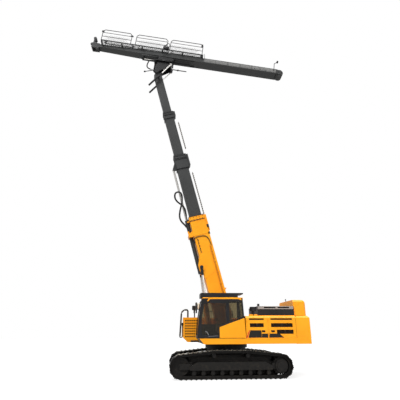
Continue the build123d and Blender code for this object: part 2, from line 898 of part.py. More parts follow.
def cab_guard():
    """Bar guard over the roof: deep side plates and front plate, a rear frame, bars and four short posts."""
    top = guard_bottom + guard_plate_height
    y0, y1 = cab_inner_y + guard_tube, cab_outer_y - guard_tube
    guard = box(guard_rear, guard_front, y0, y1, top - guard_tube, top)
    guard += box(guard_plate_rear, guard_front, y0, y1, guard_bottom, top)
    guard -= box(guard_rear + guard_tube, guard_front - guard_tube, y0 + guard_tube, y1 - guard_tube,
                 guard_bottom - overrun, top + overrun)
    for i in range(1, guard_bars):
        x = guard_rear + (guard_front - guard_rear) * i / guard_bars
        guard += box(x - guard_tube / 3, x + guard_tube / 3, y0, y1, top - guard_tube, top)
    roof = cab_roof_z + cab_roof_height / 2
    for x in (guard_plate_rear + guard_tube, cab_brow - guard_tube * 4):
        for y in (y0, y1 - guard_tube):
            guard += box(x, x + guard_tube, y, y + guard_tube, roof, guard_bottom + overrun)
    return guard


def house_shell():
    """Engine house: bulkheads, roof and its bevelled edges, open at the sides behind the doors."""
    inner = half_width - door_skin - clear
    ridge = [(-half_width, house_bevel_z), (-house_bevel_y, house_roof), (house_bevel_y, house_roof),
             (half_width, house_bevel_z)]
    drop = house_wall
    under = [(inner - drop, house_bevel_z), (house_bevel_y - drop, house_roof - drop),
             (-house_bevel_y + drop, house_roof - drop), (-inner + drop, house_bevel_z)]
    roof = across(ridge + under, deck_rear, house_front)
    for x in (deck_rear, house_split - house_wall / 2, house_front - house_wall):
        roof += box(x, x + house_wall, -inner, inner, deck_top, house_bevel_z + overrun)
    for x in (house_front, house_split + hinge_post / 2):
        post = box(x - hinge_post, x, inner - overrun, half_width, deck_top, house_bevel_z)
        for share in hinge_height_shares:
            z = deck_top + (house_bevel_z - deck_top) * share + knuckle_height + running
            post += hinge_half(x - hinge_post - clear / 2, half_width, z, 1)
        roof += post + mirrored(post)
    return roof + hood_frame()


def vent_rows(x0, x1, shares):
    """Air slots of one service door as (x from, x to, z from, z to), from shares of its width and height."""
    width = x0 - x1
    height = house_bevel_z - deck_top
    return [(x0 - width * a, x0 - width * b, deck_top + height * c, deck_top + height * d)
            for a, b, c, d in shares]


def hinge_half(x, face, z, way):
    """One knuckle on a hinge line just outside a face, with its leaf to one side."""
    y = face + knuckle_radius + running
    knuckle = rod((x, y, z), (x, y, z + knuckle_height), knuckle_radius)
    return knuckle + box(x, x + way * leaf_length, face, y, z, z + knuckle_height)


def service_door(x0, x1, shares):
    """Side door with its air slots and the ribs across them, hinged at its front edge."""
    y0, y1 = half_width - door_skin, half_width
    door = box(x0 - clear, x1 + clear, y0, y1, deck_top + clear, house_bevel_z - clear)
    for a, b, c, d in vent_rows(x0, x1, shares):
        door -= box(a, b, y0 - overrun, y1 + overrun, c, d)
        door += box((a + b) / 2 - vent_rib / 2, (a + b) / 2 + vent_rib / 2, y0, y1 - clear, c, d)
    for share in hinge_height_shares:
        z = deck_top + (house_bevel_z - deck_top) * share
        door += hinge_half(x0 - clear / 2, y1, z, -1)
    return door


def engine_block():
    """The engine, as one plain block across the house."""
    x0 = house_split - house_wall * 2
    return box(x0, x0 - engine_length, -engine_width / 2, engine_width / 2, deck_top, deck_top + engine_height)


def counterweight():
    """Cast weight with a curved tail and bevelled upper edge."""
    y = half_width
    x_side = deck_rear - tail_depth
    arc = ThreePointArc((x_side, y), (x_side - tail_bulge, 0), (x_side, -y))
    lines = [Line((x_side, -y), (deck_rear, -y)), Line((deck_rear, -y), (deck_rear, y)),
             Line((deck_rear, y), (x_side, y))]
    base = make_face([arc, *lines])
    low = Pos(0, 0, tail_bottom) * extrude(base, house_bevel_z - tail_bottom)
    slope = math.degrees(math.atan2(half_width - house_bevel_y, house_roof - house_bevel_z))
    cap = Pos(0, 0, house_bevel_z) * extrude(base, house_roof - house_bevel_z, taper=slope)
    front = box(deck_rear, deck_rear + tail_depth, -y * 2, y * 2, tail_bottom - overrun, house_roof + overrun)
    return low + (cap - front)


def engine_hood():
    """Raised black engine cover, open underneath, with two long slots under its left edge and a seam."""
    z0 = house_roof + hood_base
    hood = box(hood_rear, hood_front, hood_right, hood_left, z0, hood_top)
    hood = chamfer(hood.edges().filter_by(Axis.X).group_by(Axis.Z)[-1], hood_base)
    hood -= box(hood_rear + hood_wall, hood_front - hood_wall, hood_right + hood_wall, hood_left - hood_wall,
                z0 - overrun, hood_top - hood_wall)
    slot_top = hood_top - hood_base
    for a, b in (rim_slot_ends[:2], rim_slot_ends[2:]):
        hood -= box(a, b, hood_left - hood_wall - overrun, hood_left + overrun, slot_top - rim_slot_height, slot_top)
    hood -= box(hood_seam - seam_width, hood_seam, hood_left - hood_wall / 2, hood_left + overrun, z0 - overrun,
                slot_top - rim_slot_height * 2)
    hood += Solid.make_cylinder(stub_radius, stub_top - hood_top + overrun,
                                Plane(origin=(stub_x, stub_y, hood_top - overrun)))
    for x in hood_hinge_places():
        hood += hood_hinge_half(x, 1)
    return hood


def hood_hinge_places():
    """Where the hood's hinges start along its right edge."""
    return [hood_rear + (hood_front - hood_rear) * share for share in hood_hinge_shares]


def hood_hinge_half(x, way):
    """One knuckle on the hood's hinge line, with its leaf above or below it."""
    y = hood_right - knuckle_radius - running
    z = house_roof + hood_base - running / 2
    knuckle = rod((x, y, z), (x + knuckle_height, y, z), knuckle_radius)
    return knuckle + box(x, x + knuckle_height, y, hood_right, z, z + way * leaf_length)


def hood_frame():
    """Low frame that the hood closes on."""
    z0, z1 = house_roof, house_roof + hood_base - running
    frame = box(hood_rear, hood_front, hood_right, hood_left, z0, z1)
    frame -= box(hood_rear + hood_wall * 2, hood_front - hood_wall * 2, hood_right + hood_wall * 2,
                 hood_left - hood_wall * 2, z0 - overrun, z1 + overrun)
    for x in hood_hinge_places():
        frame += hood_hinge_half(x + knuckle_height + running, -1)
    return frame


def rear_cover():
    """Rounded cover on the counterweight, behind the hood."""
    x0 = hood_rear - clear * 2
    x1 = deck_rear - tail_depth - tail_bulge + cover_setback
    cover = box(x1, x0, cover_right, cover_left, house_roof, cover_top)
    cover = fillet(cover.edges().filter_by(Axis.Y).group_by(Axis.X)[0].group_by(Axis.Z)[-1], cover_round)
    return chamfer(cover.edges().filter_by(Axis.X).group_by(Axis.Z)[-1], cover_round / 2)


def air_precleaner():
    """Intake bowl with its cap."""
    z = house_roof
    stem = cleaner_radius * 0.5
    low = cleaner_top - (cleaner_top - z) * 0.45
    bowl = Solid.make_cylinder(stem, low - z + overrun, Plane(origin=(cleaner_x, cleaner_y, z)))
    bowl += Solid.make_cylinder(cleaner_radius, cleaner_top - low, Plane(origin=(cleaner_x, cleaner_y, low)))
    return bowl


def storage_box():
    """Front right box with its slotted inner panel."""
    x0, x1, y0, y1 = deck_right_front, box_front, -half_width, -box_inner_y
    shape = side([(x0, box_bottom), (x1 - box_chamfer, box_bottom), (x1, box_bottom + box_chamfer), (x1, box_top),
                  (x0, box_top)], y0, y1)
    width, height = x1 - x0, box_top - box_bottom
    row, column = height * 0.75 / box_slot_rows, width * 0.8 / box_slot_columns
    for i in range(box_slot_rows):
        for j in range(box_slot_columns):
            z = box_bottom + height * 0.2 + row * i
            x = x0 + width * 0.12 + column * j
            shape -= box(x, x + column * 0.72, y1 - box_slot_depth, y1 + overrun, z, z + row * 0.5)
    return shape


def tank():
    """Fuel and oil tanks as one rounded block on the right of the deck."""
    block = box(tank_rear, deck_right_front, -half_width, -tank_inner_y, deck_top, tank_top)
    return chamfer(block.edges().filter_by(Axis.X).group_by(Axis.Z)[-1], tank_round)


def front_rail():
    """Handrail loop in front of the storage box."""
    y = -half_width + rail_tube * 2
    x = box_front
    points = [(x + rail_tube, y, box_bottom + box_chamfer), (x + rail_height * 0.16, y, box_bottom + box_chamfer),
              (x + rail_height * 0.08, y, box_top + rail_height * 0.3),
              (x - rail_height * 0.06, y, box_top + rail_height * 0.45),
              (x - rail_height * 0.29, y, box_top + rail_height * 0.45), (x - rail_height * 0.29, y, box_top)]
    return [rod(a, b, rail_tube) for a, b in zip(points, points[1:])]


def joined(parts):
    """Pieces fused into one."""
    shape = parts[0]
    for part in parts[1:]:
        shape = shape + part
    return shape


def handrails():
    """Front loop and the roof rail of the right side."""
    front = joined(front_rail())
    y = -half_width + rail_tube * 3
    top = tank_top + rail_height * 0.4
    x0, x1 = tank_rear + rail_tube * 4, deck_right_front - rail_tube * 4
    rear = joined([rod((x0, y, tank_top), (x0, y, top), rail_tube), rod((x0, y, top), (x1, y, top), rail_tube),
                   rod((x1, y, top), (x1, y, tank_top), rail_tube)])
    return group([front, rear])


def mirror_head(x, y, z):
    """A mirror body centred on a point."""
    return box(x - rail_tube, x + rail_tube, y - rail_tube * 6, y + rail_tube * 6, z - rail_tube * 7,
               z + rail_tube * 7)


def mirrors():
    """Mirror on the storage box and mirror on the cab's front post."""
    z = box_top + rail_height * 0.45
    x = deck_right_front + rail_tube * 8
    right = rod((x, -half_width + rail_tube * 8, box_top), (x, -half_width + rail_tube * 8, z), rail_tube * 0.7)
    right += mirror_head(x, -half_width + rail_tube * 8, z)
    zc = (cab_front_mid_z + cab_front_top_z) / 2
    xc = cab_x_front(zc)
    yc = cab_outer_y - cab_wall / 2
    left = rod((xc, yc, zc), (xc + rail_tube * 7, yc, zc), rail_tube * 0.7)
    left += mirror_head(xc + rail_tube * 7, yc, zc)
    left -= side(cab_outline(0), cab_inner_y, cab_outer_y)
    return group([right, left])


def tube_section(u0, u1, height, width, wall):
    """A straight boom section, hollow."""
    outer = box(u0, u1, -width / 2, width / 2, -height / 2, height / 2)
    return outer - box(u0 - overrun, u1 + overrun, -width / 2 + wall, width / 2 - wall, -height / 2 + wall,
                       height / 2 - wall)


def wear_pads(u0, u1, height, width, wall, next_height, next_width):
    """Four blocks inside a collar that guide the next section."""
    pads = []
    across_inner, up_inner = width / 2 - wall, height / 2 - wall
    half_pad = next_width / 4
    for s in (-1, 1):
        pads.append(box(u0, u1, s * (next_width / 2 + running), s * (across_inner + wall / 2), -half_pad, half_pad))
        pads.append(box(u0, u1, -half_pad, half_pad, s * (next_height / 2 + running), s * (up_inner + wall / 2)))
    return pads


def collar(u0, u1, height, width, thick):
    """Reinforcing band round a section's end."""
    outer = box(u0, u1, -width / 2 - thick, width / 2 + thick, -height / 2 - thick, height / 2 + thick)
    return outer - box(u0 - overrun, u1 + overrun, -width / 2, width / 2, -height / 2, height / 2)


def boom_base():
    """Yellow base section: rounded foot, hollow box, head collar with pads, lift ears and cylinder brackets."""
    half_h, half_w = base_height / 2, base_width / 2
    back = half_h + base_back
    outline = []
    for i in range(arc_points):
        angle = math.radians(110 + 140 * i / (arc_points - 1))
        outline.append((boom_foot_radius * math.cos(angle), boom_foot_radius * math.sin(angle)))
    outline += [(boom_foot_taper, -half_h), (boom_base_length, -half_h), (boom_base_length, half_h),
                (collar_start, back), (boom_foot_taper, back)]
    base = side(outline, -half_w, half_w)
    base -= box(boom_foot_taper + base_wall, boom_base_length + overrun, -half_w + base_wall, half_w - base_wall,
                -half_h + base_wall, half_h - base_wall)
    base += collar(collar_start, boom_base_length, base_height, base_width, collar_proud / 2)
    band = collar_proud * 3
    base += collar(boom_base_length - flange_length, boom_base_length, base_height, base_width, collar_proud)
    base += pulley_housing(collar_start, boom_base_length, half_h, base_back * 2)
    base += cylinder_bracket()
    lug = side([(foot_lug_u - foot_lug_reach, back - overrun), (foot_lug_u, back - overrun),
                (foot_lug_u + foot_lug_half, back + foot_lug_reach), (foot_lug_u, back + foot_lug_reach)],
               -foot_lug_half, foot_lug_half)
    base += lug
    name, u0, u1, height, width, *rest = sections[0]
    for pad in wear_pads(boom_base_length - band, boom_base_length, base_height, base_width, base_wall, height,
                         width):
        base += pad
    base -= pin_y(0, 0, foot_pin_radius + running, -base_width, base_width)
    span = lift_ear_radius * 4.5
    ear = side([(lift_ear_u - span, -half_h), (lift_ear_u - lift_ear_radius, lift_ear_w - lift_ear_radius),
                (lift_ear_u + lift_ear_radius, lift_ear_w - lift_ear_radius), (lift_ear_u + span, -half_h),
                (lift_ear_u + span * 0.6, half_h * 0.5), (lift_ear_u - span * 0.6, half_h * 0.5)],
               half_w, half_w + doubler)
    base += ear + mirrored(ear)
    cross = box(lift_ear_u - lift_ear_radius, lift_ear_u + lift_ear_radius, -half_w, half_w, tele_w + tele_radius
                + overrun, -half_h)
    base += cross
    return base


def pulley_housing(u0, u1, back, reach):
    """Closed housing of the chain pulleys on a section's rear face, between two stations."""
    outline = [(u0, back - overrun), (u1, back - overrun), (u1, back + reach), (u0 + reach, back + reach)]
    return side(outline, -housing_half_width, housing_half_width)


def cylinder_bracket():
    """Wedge at the collar's lower front corner that holds the extension cylinder's body between two cheeks."""
    face = -base_height / 2
    inner, outer = tele_radius + clear, base_width / 2
    outline = [(collar_start, face + overrun), (collar_start, bracket_nose), (collar_start + bracket_length / 2,
               bracket_nose), (collar_start + bracket_length, face + overrun)]
    cheek = side(outline, inner, outer)
    nose = box(collar_start, collar_start + bracket_length / 2, -outer, outer, bracket_nose,
               bracket_nose + bracket_plate)
    gland = box(collar_start + bracket_length / 2 - gland_length, hose_start_u, hose_start_y - gland_half,
                hose_start_y + gland_half, hose_start_w - gland_half, hose_start_w + gland_half)
    end = box(hose_end_u - gland_length, hose_end_u, hose_end_y - gland_half, hose_end_y + gland_half,
              hose_end_w - gland_half, face)
    return cheek + mirrored(cheek) + nose + gland + end


def telescope_barrel():
    """Extension cylinder on the boom's front face, with its saddle clamps."""
    barrel = rod((tele_start, 0, tele_w), (tele_end, 0, tele_w), tele_radius)
    barrel -= rod((tele_start + tele_radius, 0, tele_w), (tele_end + overrun, 0, tele_w), tele_bore_radius)
    face = -base_height / 2
    width = tele_radius
    for u in (lift_ear_u + lift_ear_radius * 2, collar_start - tele_radius * 3):
        barrel += box(u, u + tele_radius, -width, width, tele_w, face)
    end = tele_end - tele_radius
    barrel += box(end - tele_radius, end + tele_radius / 2, -width, width, tele_w, face - collar_proud)
    barrel -= rod((tele_start + tele_radius, 0, tele_w), (tele_end + overrun, 0, tele_w), tele_bore_radius)
    return barrel


def telescope_rod():
    """Chrome rod with its piston and its end eye."""
    shape = rod((tele_rod_start, 0, tele_w), (tele_eye_u, 0, tele_w), tele_rod_radius)
    shape += rod((tele_rod_start, 0, tele_w), (tele_rod_start + tele_rod_radius, 0, tele_w),
                 tele_bore_radius - running)
    return shape


def boom_section(row):
    """One inner section with its own collar, rings and pads."""
    name, u0, u1, height, width, wall, collar_u, thick = row
    shape = tube_section(u0, u1, height, width, wall)
    if collar_u is None:
        return shape
    band = thick * 2
    shape += collar(u1 - band, u1, height, width, thick)
    shape += collar(u1 - band * 2.4, u1 - band * 1.4, height, width, thick)
    shape += collar(collar_u, u1, height, width, thick / 2)
    shape += pulley_housing(collar_u, u1, height / 2, housing_lead * height / base_height)
    index = [r[0] for r in sections].index(name) + 1
    next_height, next_width = sections[index][3], sections[index][4]
    for pad in wear_pads(u1 - band, u1, height, width, wall, next_height, next_width):
        shape += pad
    return shape


def hose(route, radius):
    """A round hose along straight runs joined by tangent arcs, and its bend radii."""
    points = [Vector(*p) for p in route]
    radii = []
    for a, b, c in zip(points, points[1:], points[2:]):
        turn = (b - a).get_angle(c - b)
        shorter = min((b - a).length, (c - b).length)
        radii.append(hose_bend_share * shorter / math.tan(math.radians(turn) / 2))
    path = FilletPolyline(*points, radius=radii)
    section = Plane(origin=points[0], z_dir=points[1] - points[0]) * Circle(radius)
    solid = sweep(section, path=path)
    print("hose radii", [round(r) for r in radii], "length", round(path.length), "volume", round(solid.volume),
          "section by length", round(math.pi * radius ** 2 * path.length))
    return solid


def boom_section_2():
    """Second section, with the ear that the extension rod pushes on."""
    row = sections[0]
    name, u0, u1, height, width, wall, collar_u, thick = row
    shape = boom_section(row)
    ear_half = tele_rod_radius
    face = -height / 2
    rear = face + overrun
    ear = side([(tele_eye_u, tele_w - ear_half), (tele_eye_u + ear_half, tele_w - ear_half),
                (u1 - thick * 6, face), (u1 - thick * 6, rear), (tele_eye_u, rear)], -ear_half, ear_half)
    return shape + ear


def boom_section_4():
    """Last section with the tilt pivot's bosses and the trunnion stubs of the tilt cylinders."""
    name, u0, u1, height, width, wall, collar_u, thick = sections[2]
    end = tip_u - tip_boss_radius * 2
    shape = tube_section(u0, end, height, width, wall)
    half_w = width / 2
    cheeks = side([(end - tip_boss_radius, -height / 2), (end, -height / 2), (tip_u, -tip_boss_radius),
                   (tip_u + tip_boss_radius * 0.7, -tip_boss_radius * 0.7), (tip_u + tip_boss_radius, 0),
                   (tip_u + tip_boss_radius * 0.7, tip_boss_radius * 0.7), (tip_u, tip_boss_radius),
                   (end, height / 2), (end - tip_boss_radius, height / 2)], -half_w, half_w)
    shape += cheeks
    shape += pin_y(tip_u, 0, tip_boss_radius * 0.9, -tip_plate_in + running, tip_plate_in - running)
    shape -= pin_y(tip_u, 0, tip_pin_radius + running, -tip_plate_in, tip_plate_in)
    stub = pin_y(trunnion_u, 0, trunnion_radius, half_w - wall, tilt_y - tilt_barrel_radius - running)
    return shape + stub + mirrored(stub)


def along(start, angle, distance, side_step=0):
    """A point at a distance from another, in the XZ plane."""
    a = math.radians(angle)
    return (start[0] + distance * math.cos(a) - side_step * math.sin(a),
            start[1] + distance * math.sin(a) + side_step * math.cos(a))


def boom_to_machine(u, w):
    """A point of the boom's side view in the machine's side view."""
    return along((0, foot_z), boom_angle, u, w)


def mast_to_machine(m, n):
    """A point of the mast's side view in the machine's side view."""
    return along((mast_x, mast_z), mast_angle, m, n)


def lift_line():
    """Foot pin, rod eye, angle and length of the lift cylinders at rest."""
    low = (lift_pin_x, lift_pin_z)
    high = boom_to_machine(lift_ear_u, lift_ear_w)
    angle = math.degrees(math.atan2(high[1] - low[1], high[0] - low[0]))
    return low, high, angle, math.dist(low, high)


def tilt_line():
    """Trunnion, rod eye, angle and length of the tilt cylinders at rest."""
    low = boom_to_machine(trunnion_u, 0)
    high = mast_to_machine(tilt_eye_place, tilt_eye_level)
    angle = math.degrees(math.atan2(high[1] - low[1], high[0] - low[0]))
    return low, high, angle, math.dist(low, high)


def place_along(point, angle):
    """Moves a piece drawn along +X to a point and angle of the side view."""
    a = math.radians(angle)
    return Plane(origin=(point[0], 0, point[1]), x_dir=(math.cos(a), 0, math.sin(a)),
                 z_dir=(-math.sin(a), 0, math.cos(a))).location


def lift_barrel():
    """Lift cylinder body with its foot eye, drawn along +X from its pin."""
    y0, y1 = lift_y - lift_eye_radius, lift_y + lift_eye_radius
    shape = pin_y(0, 0, lift_eye_radius, y0, y1)
    shape += rod((0, lift_y, 0), (lift_barrel_length, lift_y, 0), lift_barrel_radius * 0.8)
    shape += rod((lift_eye_radius * 1.4, lift_y, 0), (lift_barrel_length, lift_y, 0), lift_barrel_radius)
    shape -= rod((lift_bore_start, lift_y, 0), (lift_barrel_length + overrun, lift_y, 0), lift_bore_radius)
    shape -= pin_y(0, 0, lift_pin_radius + running, y0 - overrun, y1 + overrun)
    shape -= box(-lift_eye_radius, lift_eye_radius * 1.4, y0 - overrun * 3, y0, -lift_barrel_radius,
                 lift_barrel_radius)
    return shape


def lift_rod():
    """Lift cylinder rod with its piston and its solid eye beside the boom."""
    length = lift_line()[3]
    end = length - lift_rod_length
    shape = rod((end, lift_y, 0), (length, lift_y, 0), lift_rod_radius)
    shape += rod((end, lift_y, 0), (end + lift_rod_radius, lift_y, 0), lift_bore_radius - running)
    shape += pin_y(length, 0, lift_eye_radius, base_width / 2 + doubler + running, lift_y + lift_eye_radius)
    return shape


def tilt_barrel():
    """Tilt cylinder body with its trunnion block, drawn along +X from the trunnion."""
    y = tilt_y
    shape = rod((-tilt_barrel_below, y, 0), (tilt_barrel_above, y, 0), tilt_barrel_radius)
    block = trunnion_radius * 1.3
    shape += box(-block, block, y - tilt_barrel_radius, y + tilt_barrel_radius, -block, block)
    shape -= rod((-tilt_barrel_below + tilt_bore_radius, y, 0), (tilt_barrel_above + overrun, y, 0),
                 tilt_bore_radius)
    return shape


def tilt_rod():
    """Tilt cylinder rod with its solid eye beside the tilt plate."""
    length = tilt_line()[3]
    y = tilt_y
    start = -tilt_barrel_above
    shape = rod((start, y, 0), (length, y, 0), tilt_rod_radius)
    shape += rod((start, y, 0), (start + tilt_rod_radius, y, 0), tilt_bore_radius - running)
    shape += pin_y(length, 0, tilt_eye_radius, tip_plate_in + tip_plate_thickness + running,
                   y + tilt_barrel_radius)
    return shape


def tip_in_mast():
    """The tilt pivot in the mast's own side view."""
    x, z = boom_to_machine(tip_u, 0)
    a = math.radians(mast_angle)
    dx, dz = x - mast_x, z - mast_z
    return dx * math.cos(a) + dz * math.sin(a), -dx * math.sin(a) + dz * math.cos(a)


def tilt_bracket():
    """Two side plates under a top plate, with the pivot pin and the cross plate."""
    m, n = tip_in_mast()
    round_ = tip_boss_radius
    outline = [(head_plate_half, head_plate_level), (-head_plate_half - round_ / 2, head_plate_level),
               (-head_plate_half - round_ / 2, tilt_eye_level - round_ * 0.6), (tilt_eye_place + round_, tilt_eye_level - round_),
               (m - round_, n + round_ * 0.2), (m - round_ * 0.7, n - round_ * 0.7), (m, n - round_),
               (m + round_ * 0.7, n - round_ * 0.7), (m + round_, n)]
    y0, y1 = tip_plate_in, tip_plate_in + tip_plate_thickness
    plate = side(outline, y0, y1)
    bracket = plate + mirrored(plate)
    bracket += box(-head_plate_half, head_plate_front, -head_plate_half_width, head_plate_half_width, head_plate_level,
                   bearing_level)
    bracket += pin_y(m, n, tip_pin_radius, -y1, y1)
    bracket += box(-head_plate_half, -head_plate_half + tip_plate_thickness, -y0, y0,
                   tilt_eye_level - arm_plate_drop, head_plate_level)
    bracket += rod((-head_plate_half, 0, arm_level), (arm_rear, 0, arm_level), arm_radius)
    bracket += rod((arm_knob_place - arm_radius, 0, arm_level), (arm_knob_place + arm_radius, 0, arm_level),
                   arm_radius * 2)
    bracket += box(head_gland_place - gland_length, head_gland_place, y0, y1, head_gland_level - gland_half,
                   head_gland_level + gland_half)
    return bracket + swing_ring(bearing_level, bearing_split, bearing_radius)


def swing_drive():
    """Ringed gear drive that hangs under the top plate."""
    height = head_plate_level - drive_low
    drum = Solid.make_cylinder(drive_drum_radius, height, Plane(origin=(drive_place, 0, drive_low)))
    step = (height - drive_ring_height) / (drive_ring_count - 1)
    for i in range(drive_ring_count):
        drum += Solid.make_cylinder(drive_ring_radius, drive_ring_height,
                                    Plane(origin=(drive_place, 0, drive_low + step * i)))
    inner = (drive_place + drive_drum_radius / 2, 0, drive_low + step * 0.8)
    outer = (guide_bar_front, 0, drive_low - guide_bar_drop)
    drum += rod(inner, outer, guide_bar_radius)
    drum += rod((guide_bar_front - guide_knob_radius, 0, outer[2]), (guide_bar_front + guide_knob_radius, 0, outer[2]),
                guide_knob_radius)
    return drum


def swing_ring(n0, n1, radius):
    """One half of the swing bearing."""
    return Solid.make_cylinder(radius, n1 - n0, Plane(origin=(0, 0, n0)))


def mast_saddle():
    """Saddle plate with two guide shoes that hold the beam's slide rails."""
    top = saddle_level + saddle_plate
    saddle = box(saddle_rear, saddle_front, -saddle_half_width, saddle_half_width, saddle_level, top)
    for s in (-1, 1):
        inner = s * (slide_rail_y - slide_rail_half - running)
        outer = s * (slide_rail_y + slide_rail_half + running)
        saddle += box(saddle_rear, saddle_front, s * (slide_rail_y - slide_rail_half * 2),
                      s * (slide_rail_y + slide_rail_half * 2), top, -slide_rail_depth - running)
        for edge, step in ((inner, -s), (outer, s)):
            saddle += box(saddle_rear, saddle_front, edge, edge + step * slide_rail_half,
                          -slide_rail_depth - running - overrun, -clear)
    for m in (saddle_rear, saddle_front - slide_rail_half * 2):
        saddle += box(m, m + slide_rail_half * 2, -slide_barrel_radius, slide_barrel_radius, top,
                      slide_cylinder_level - slide_barrel_radius)
    return saddle


def slide_barrel():
    """Mast slide cylinder body on the saddle."""
    n = slide_cylinder_level
    shape = rod((slide_barrel_rear, 0, n), (slide_barrel_front, 0, n), slide_barrel_radius)
    shape -= rod((slide_barrel_rear + slide_barrel_radius, 0, n), (slide_barrel_front + overrun, 0, n),
                 slide_bore_radius)
    flat = slide_rail_half * 2
    for m in (saddle_rear, saddle_front - flat - slide_rail_half):
        block = box(m, m + flat, -slide_barrel_radius, slide_barrel_radius, n - slide_barrel_radius, n)
        shape += block - rod((m - overrun, 0, n), (m + flat + overrun, 0, n), slide_bore_radius)
    return shape


def slide_rod():
    """Mast slide cylinder rod up to the beam's lug."""
    n = slide_cylinder_level
    shape = rod((slide_rod_rear, 0, n), (slide_lug_place, 0, n), slide_rod_radius)
    return shape + rod((slide_rod_rear, 0, n), (slide_rod_rear + slide_rod_radius, 0, n),
                       slide_bore_radius - running)


def beam_outline(inset_floor):
    """The beam's side view, with its floor moved up."""
    return [(beam_rear, inset_floor), (beam_taper, inset_floor), (beam_front, beam_rise + inset_floor),
            (beam_front, beam_height), (beam_rear, beam_height)]


def beam_plan(inset):
    """The beam's plan view, with its sides moved in."""
    wide, narrow = beam_half_width - inset, beam_front_half_width - inset
    return [(beam_rear, -wide), (beam_taper, -wide), (beam_front, -narrow), (beam_front, narrow),
            (beam_taper, wide), (beam_rear, wide)]


def mast_beam():
    """Tapered channel, open at the top, with slide rails and the cylinder's lug underneath."""
    wide = beam_half_width
    outer = side(beam_outline(0), -wide, wide) & plan(beam_plan(0), 0, beam_height)
    inner = side(beam_outline(beam_floor), -wide, wide) & plan(beam_plan(beam_side_wall), 0, beam_height)
    shape = outer - inner
    gap = drum_half_width + clear
    shape -= box(beam_rear - overrun, drum_place + drum_radius + clear, -gap, gap, -overrun, beam_height + overrun)
    for s in (-1, 1):
        y0, y1 = s * (slide_rail_y - slide_rail_half), s * (slide_rail_y + slide_rail_half)
        share = (slide_rail_front - beam_taper) / (beam_front - beam_taper)
        shape += side([(slide_rail_rear, -slide_rail_depth), (slide_rail_front, -slide_rail_depth),
                       (slide_rail_front, beam_rise * share), (beam_taper, 0), (slide_rail_rear, 0)],
                      min(y0, y1), max(y0, y1))
    share = (slide_lug_place - beam_taper) / (beam_front - beam_taper)
    lug_half = slide_rod_radius
    shape += box(slide_lug_place, slide_lug_place + lug_half, -lug_half * 2, lug_half * 2,
                 slide_cylinder_level - lug_half * 1.5, beam_rise * share + beam_floor / 2)
    return shape


def drill_carriage():
    """Rotary head on its sledge, inside the channel."""
    half = beam_half_width - beam_side_wall - running
    z0 = beam_floor + running
    sledge = box(carriage_rear, string_rear - head_radius, -half, half, z0, z0 + beam_side_wall)
    head = rod((carriage_rear + head_radius, 0, string_level), (string_rear - head_radius, 0, string_level), head_radius)
    chuck = rod((string_rear - head_radius - overrun, 0, string_level), (string_rear - running, 0, string_level),
                string_radius * 1.6)
    return sledge + head + chuck


def drill_string():
    """Drill rods coupled end to end, with thicker joints."""
    shape = rod((string_rear, 0, string_level), (string_front, 0, string_level), string_radius)
    step = (string_front - string_rear) / (coupling_count + 1)
    for i in range(1, coupling_count + 1):
        m = string_rear + step * i
        shape += rod((m - step / 16, 0, string_level), (m + step / 16, 0, string_level), string_radius * 1.25)
    shape += rod((string_front, 0, string_level), (string_front + string_pin_length, 0, string_level), string_pin_radius)
    return shape


def rod_clamp():
    """Guide frame at the beam's front end, with a roller on each side and one high on two arms."""
    half = beam_front_half_width
    n1 = beam_height + string_radius
    bore = string_radius * 1.7
    frame = box(beam_front, clamp_front, -half, half, 0, n1)
    frame -= box(beam_front + walk_plate * 2, clamp_front - walk_plate * 2, -half + walk_plate, half - walk_plate,
                 -overrun, n1 + overrun)
    frame -= rod((beam_front - overrun, 0, string_level), (clamp_front + overrun, 0, string_level), bore)
    m1 = clamp_front - walk_plate
    for s in (-1, 1):
        y0 = s * roller_arm_y
        y1 = s * (roller_arm_y + roller_arm_thickness)
        frame += side([(m1 - roller_arm_depth, n1 - overrun), (m1, n1 - overrun),
                       (m1, top_roller_level), (m1 - roller_arm_depth, top_roller_level)], min(y0, y1), max(y0, y1))
        wheel = sorted((s * half, s * (half - side_roller_width)))
        frame += pin_y(clamp_front, side_roller_level, side_roller_radius, *wheel)
    frame += pin_y(m1 - roller_arm_depth / 2, top_roller_level, top_roller_radius, -roller_arm_y, roller_arm_y)
    return frame


def feed_drum():
    """Chain drum behind the beam, with its axle ends."""
    half = drum_half_width
    reach = half + drum_gap
    drum = pin_y(drum_place, drum_level, drum_radius, -half, half)
    return drum + pin_y(drum_place, drum_level, drum_axle_radius, -reach, reach)


def drum_plates():
    """End plates that carry the drum on the beam's rear end."""
    y0 = drum_half_width + drum_gap
    y1 = y0 + beam_side_wall
    plate = box(drum_place - drum_radius / 2, beam_rear, y0, y1, 0, beam_height)
    return plate


def walkway():
    """Grated floor over the beam's front half, on cross bearers, with toe boards."""
    z0 = beam_height + walk_lift
    z1 = z0 + walk_plate
    half, inner = walk_half_width, walk_half_width - walk_plate
    deck = box(walk_rear, walk_front, -half, half, z0, z1)
    deck -= box(walk_rear + walk_plate, walk_front - walk_plate, -inner, inner, z0 - overrun, z1 + overrun)
    for s in (-1, 1):
        deck += box(walk_rear, walk_front, s * half, s * inner, z1, z1 + toe_height)
    for i in range(grate_bars):
        y = inner * (2 * (i + 1) / (grate_bars + 1) - 1)
        deck += box(walk_rear, walk_front, y - grate_bar / 2, y + grate_bar / 2, z0, z1)
    length = walk_front - walk_rear
    for i in range(grate_ties):
        m = walk_rear + length * (i + 1) / (grate_ties + 1)
        deck += box(m, m + grate_bar, -half, half, z0, z1)
    for i in range(bearer_count):
        m = walk_rear + (length - walk_lift) * i / (bearer_count - 1)
        deck += box(m, m + walk_lift, -half, half, beam_height, z0)
    return deck


# name, rear end, front end
rail_panels = [("rear", -2200, -180), ("middle", 20, 1975), ("front", 2270, 4085)]


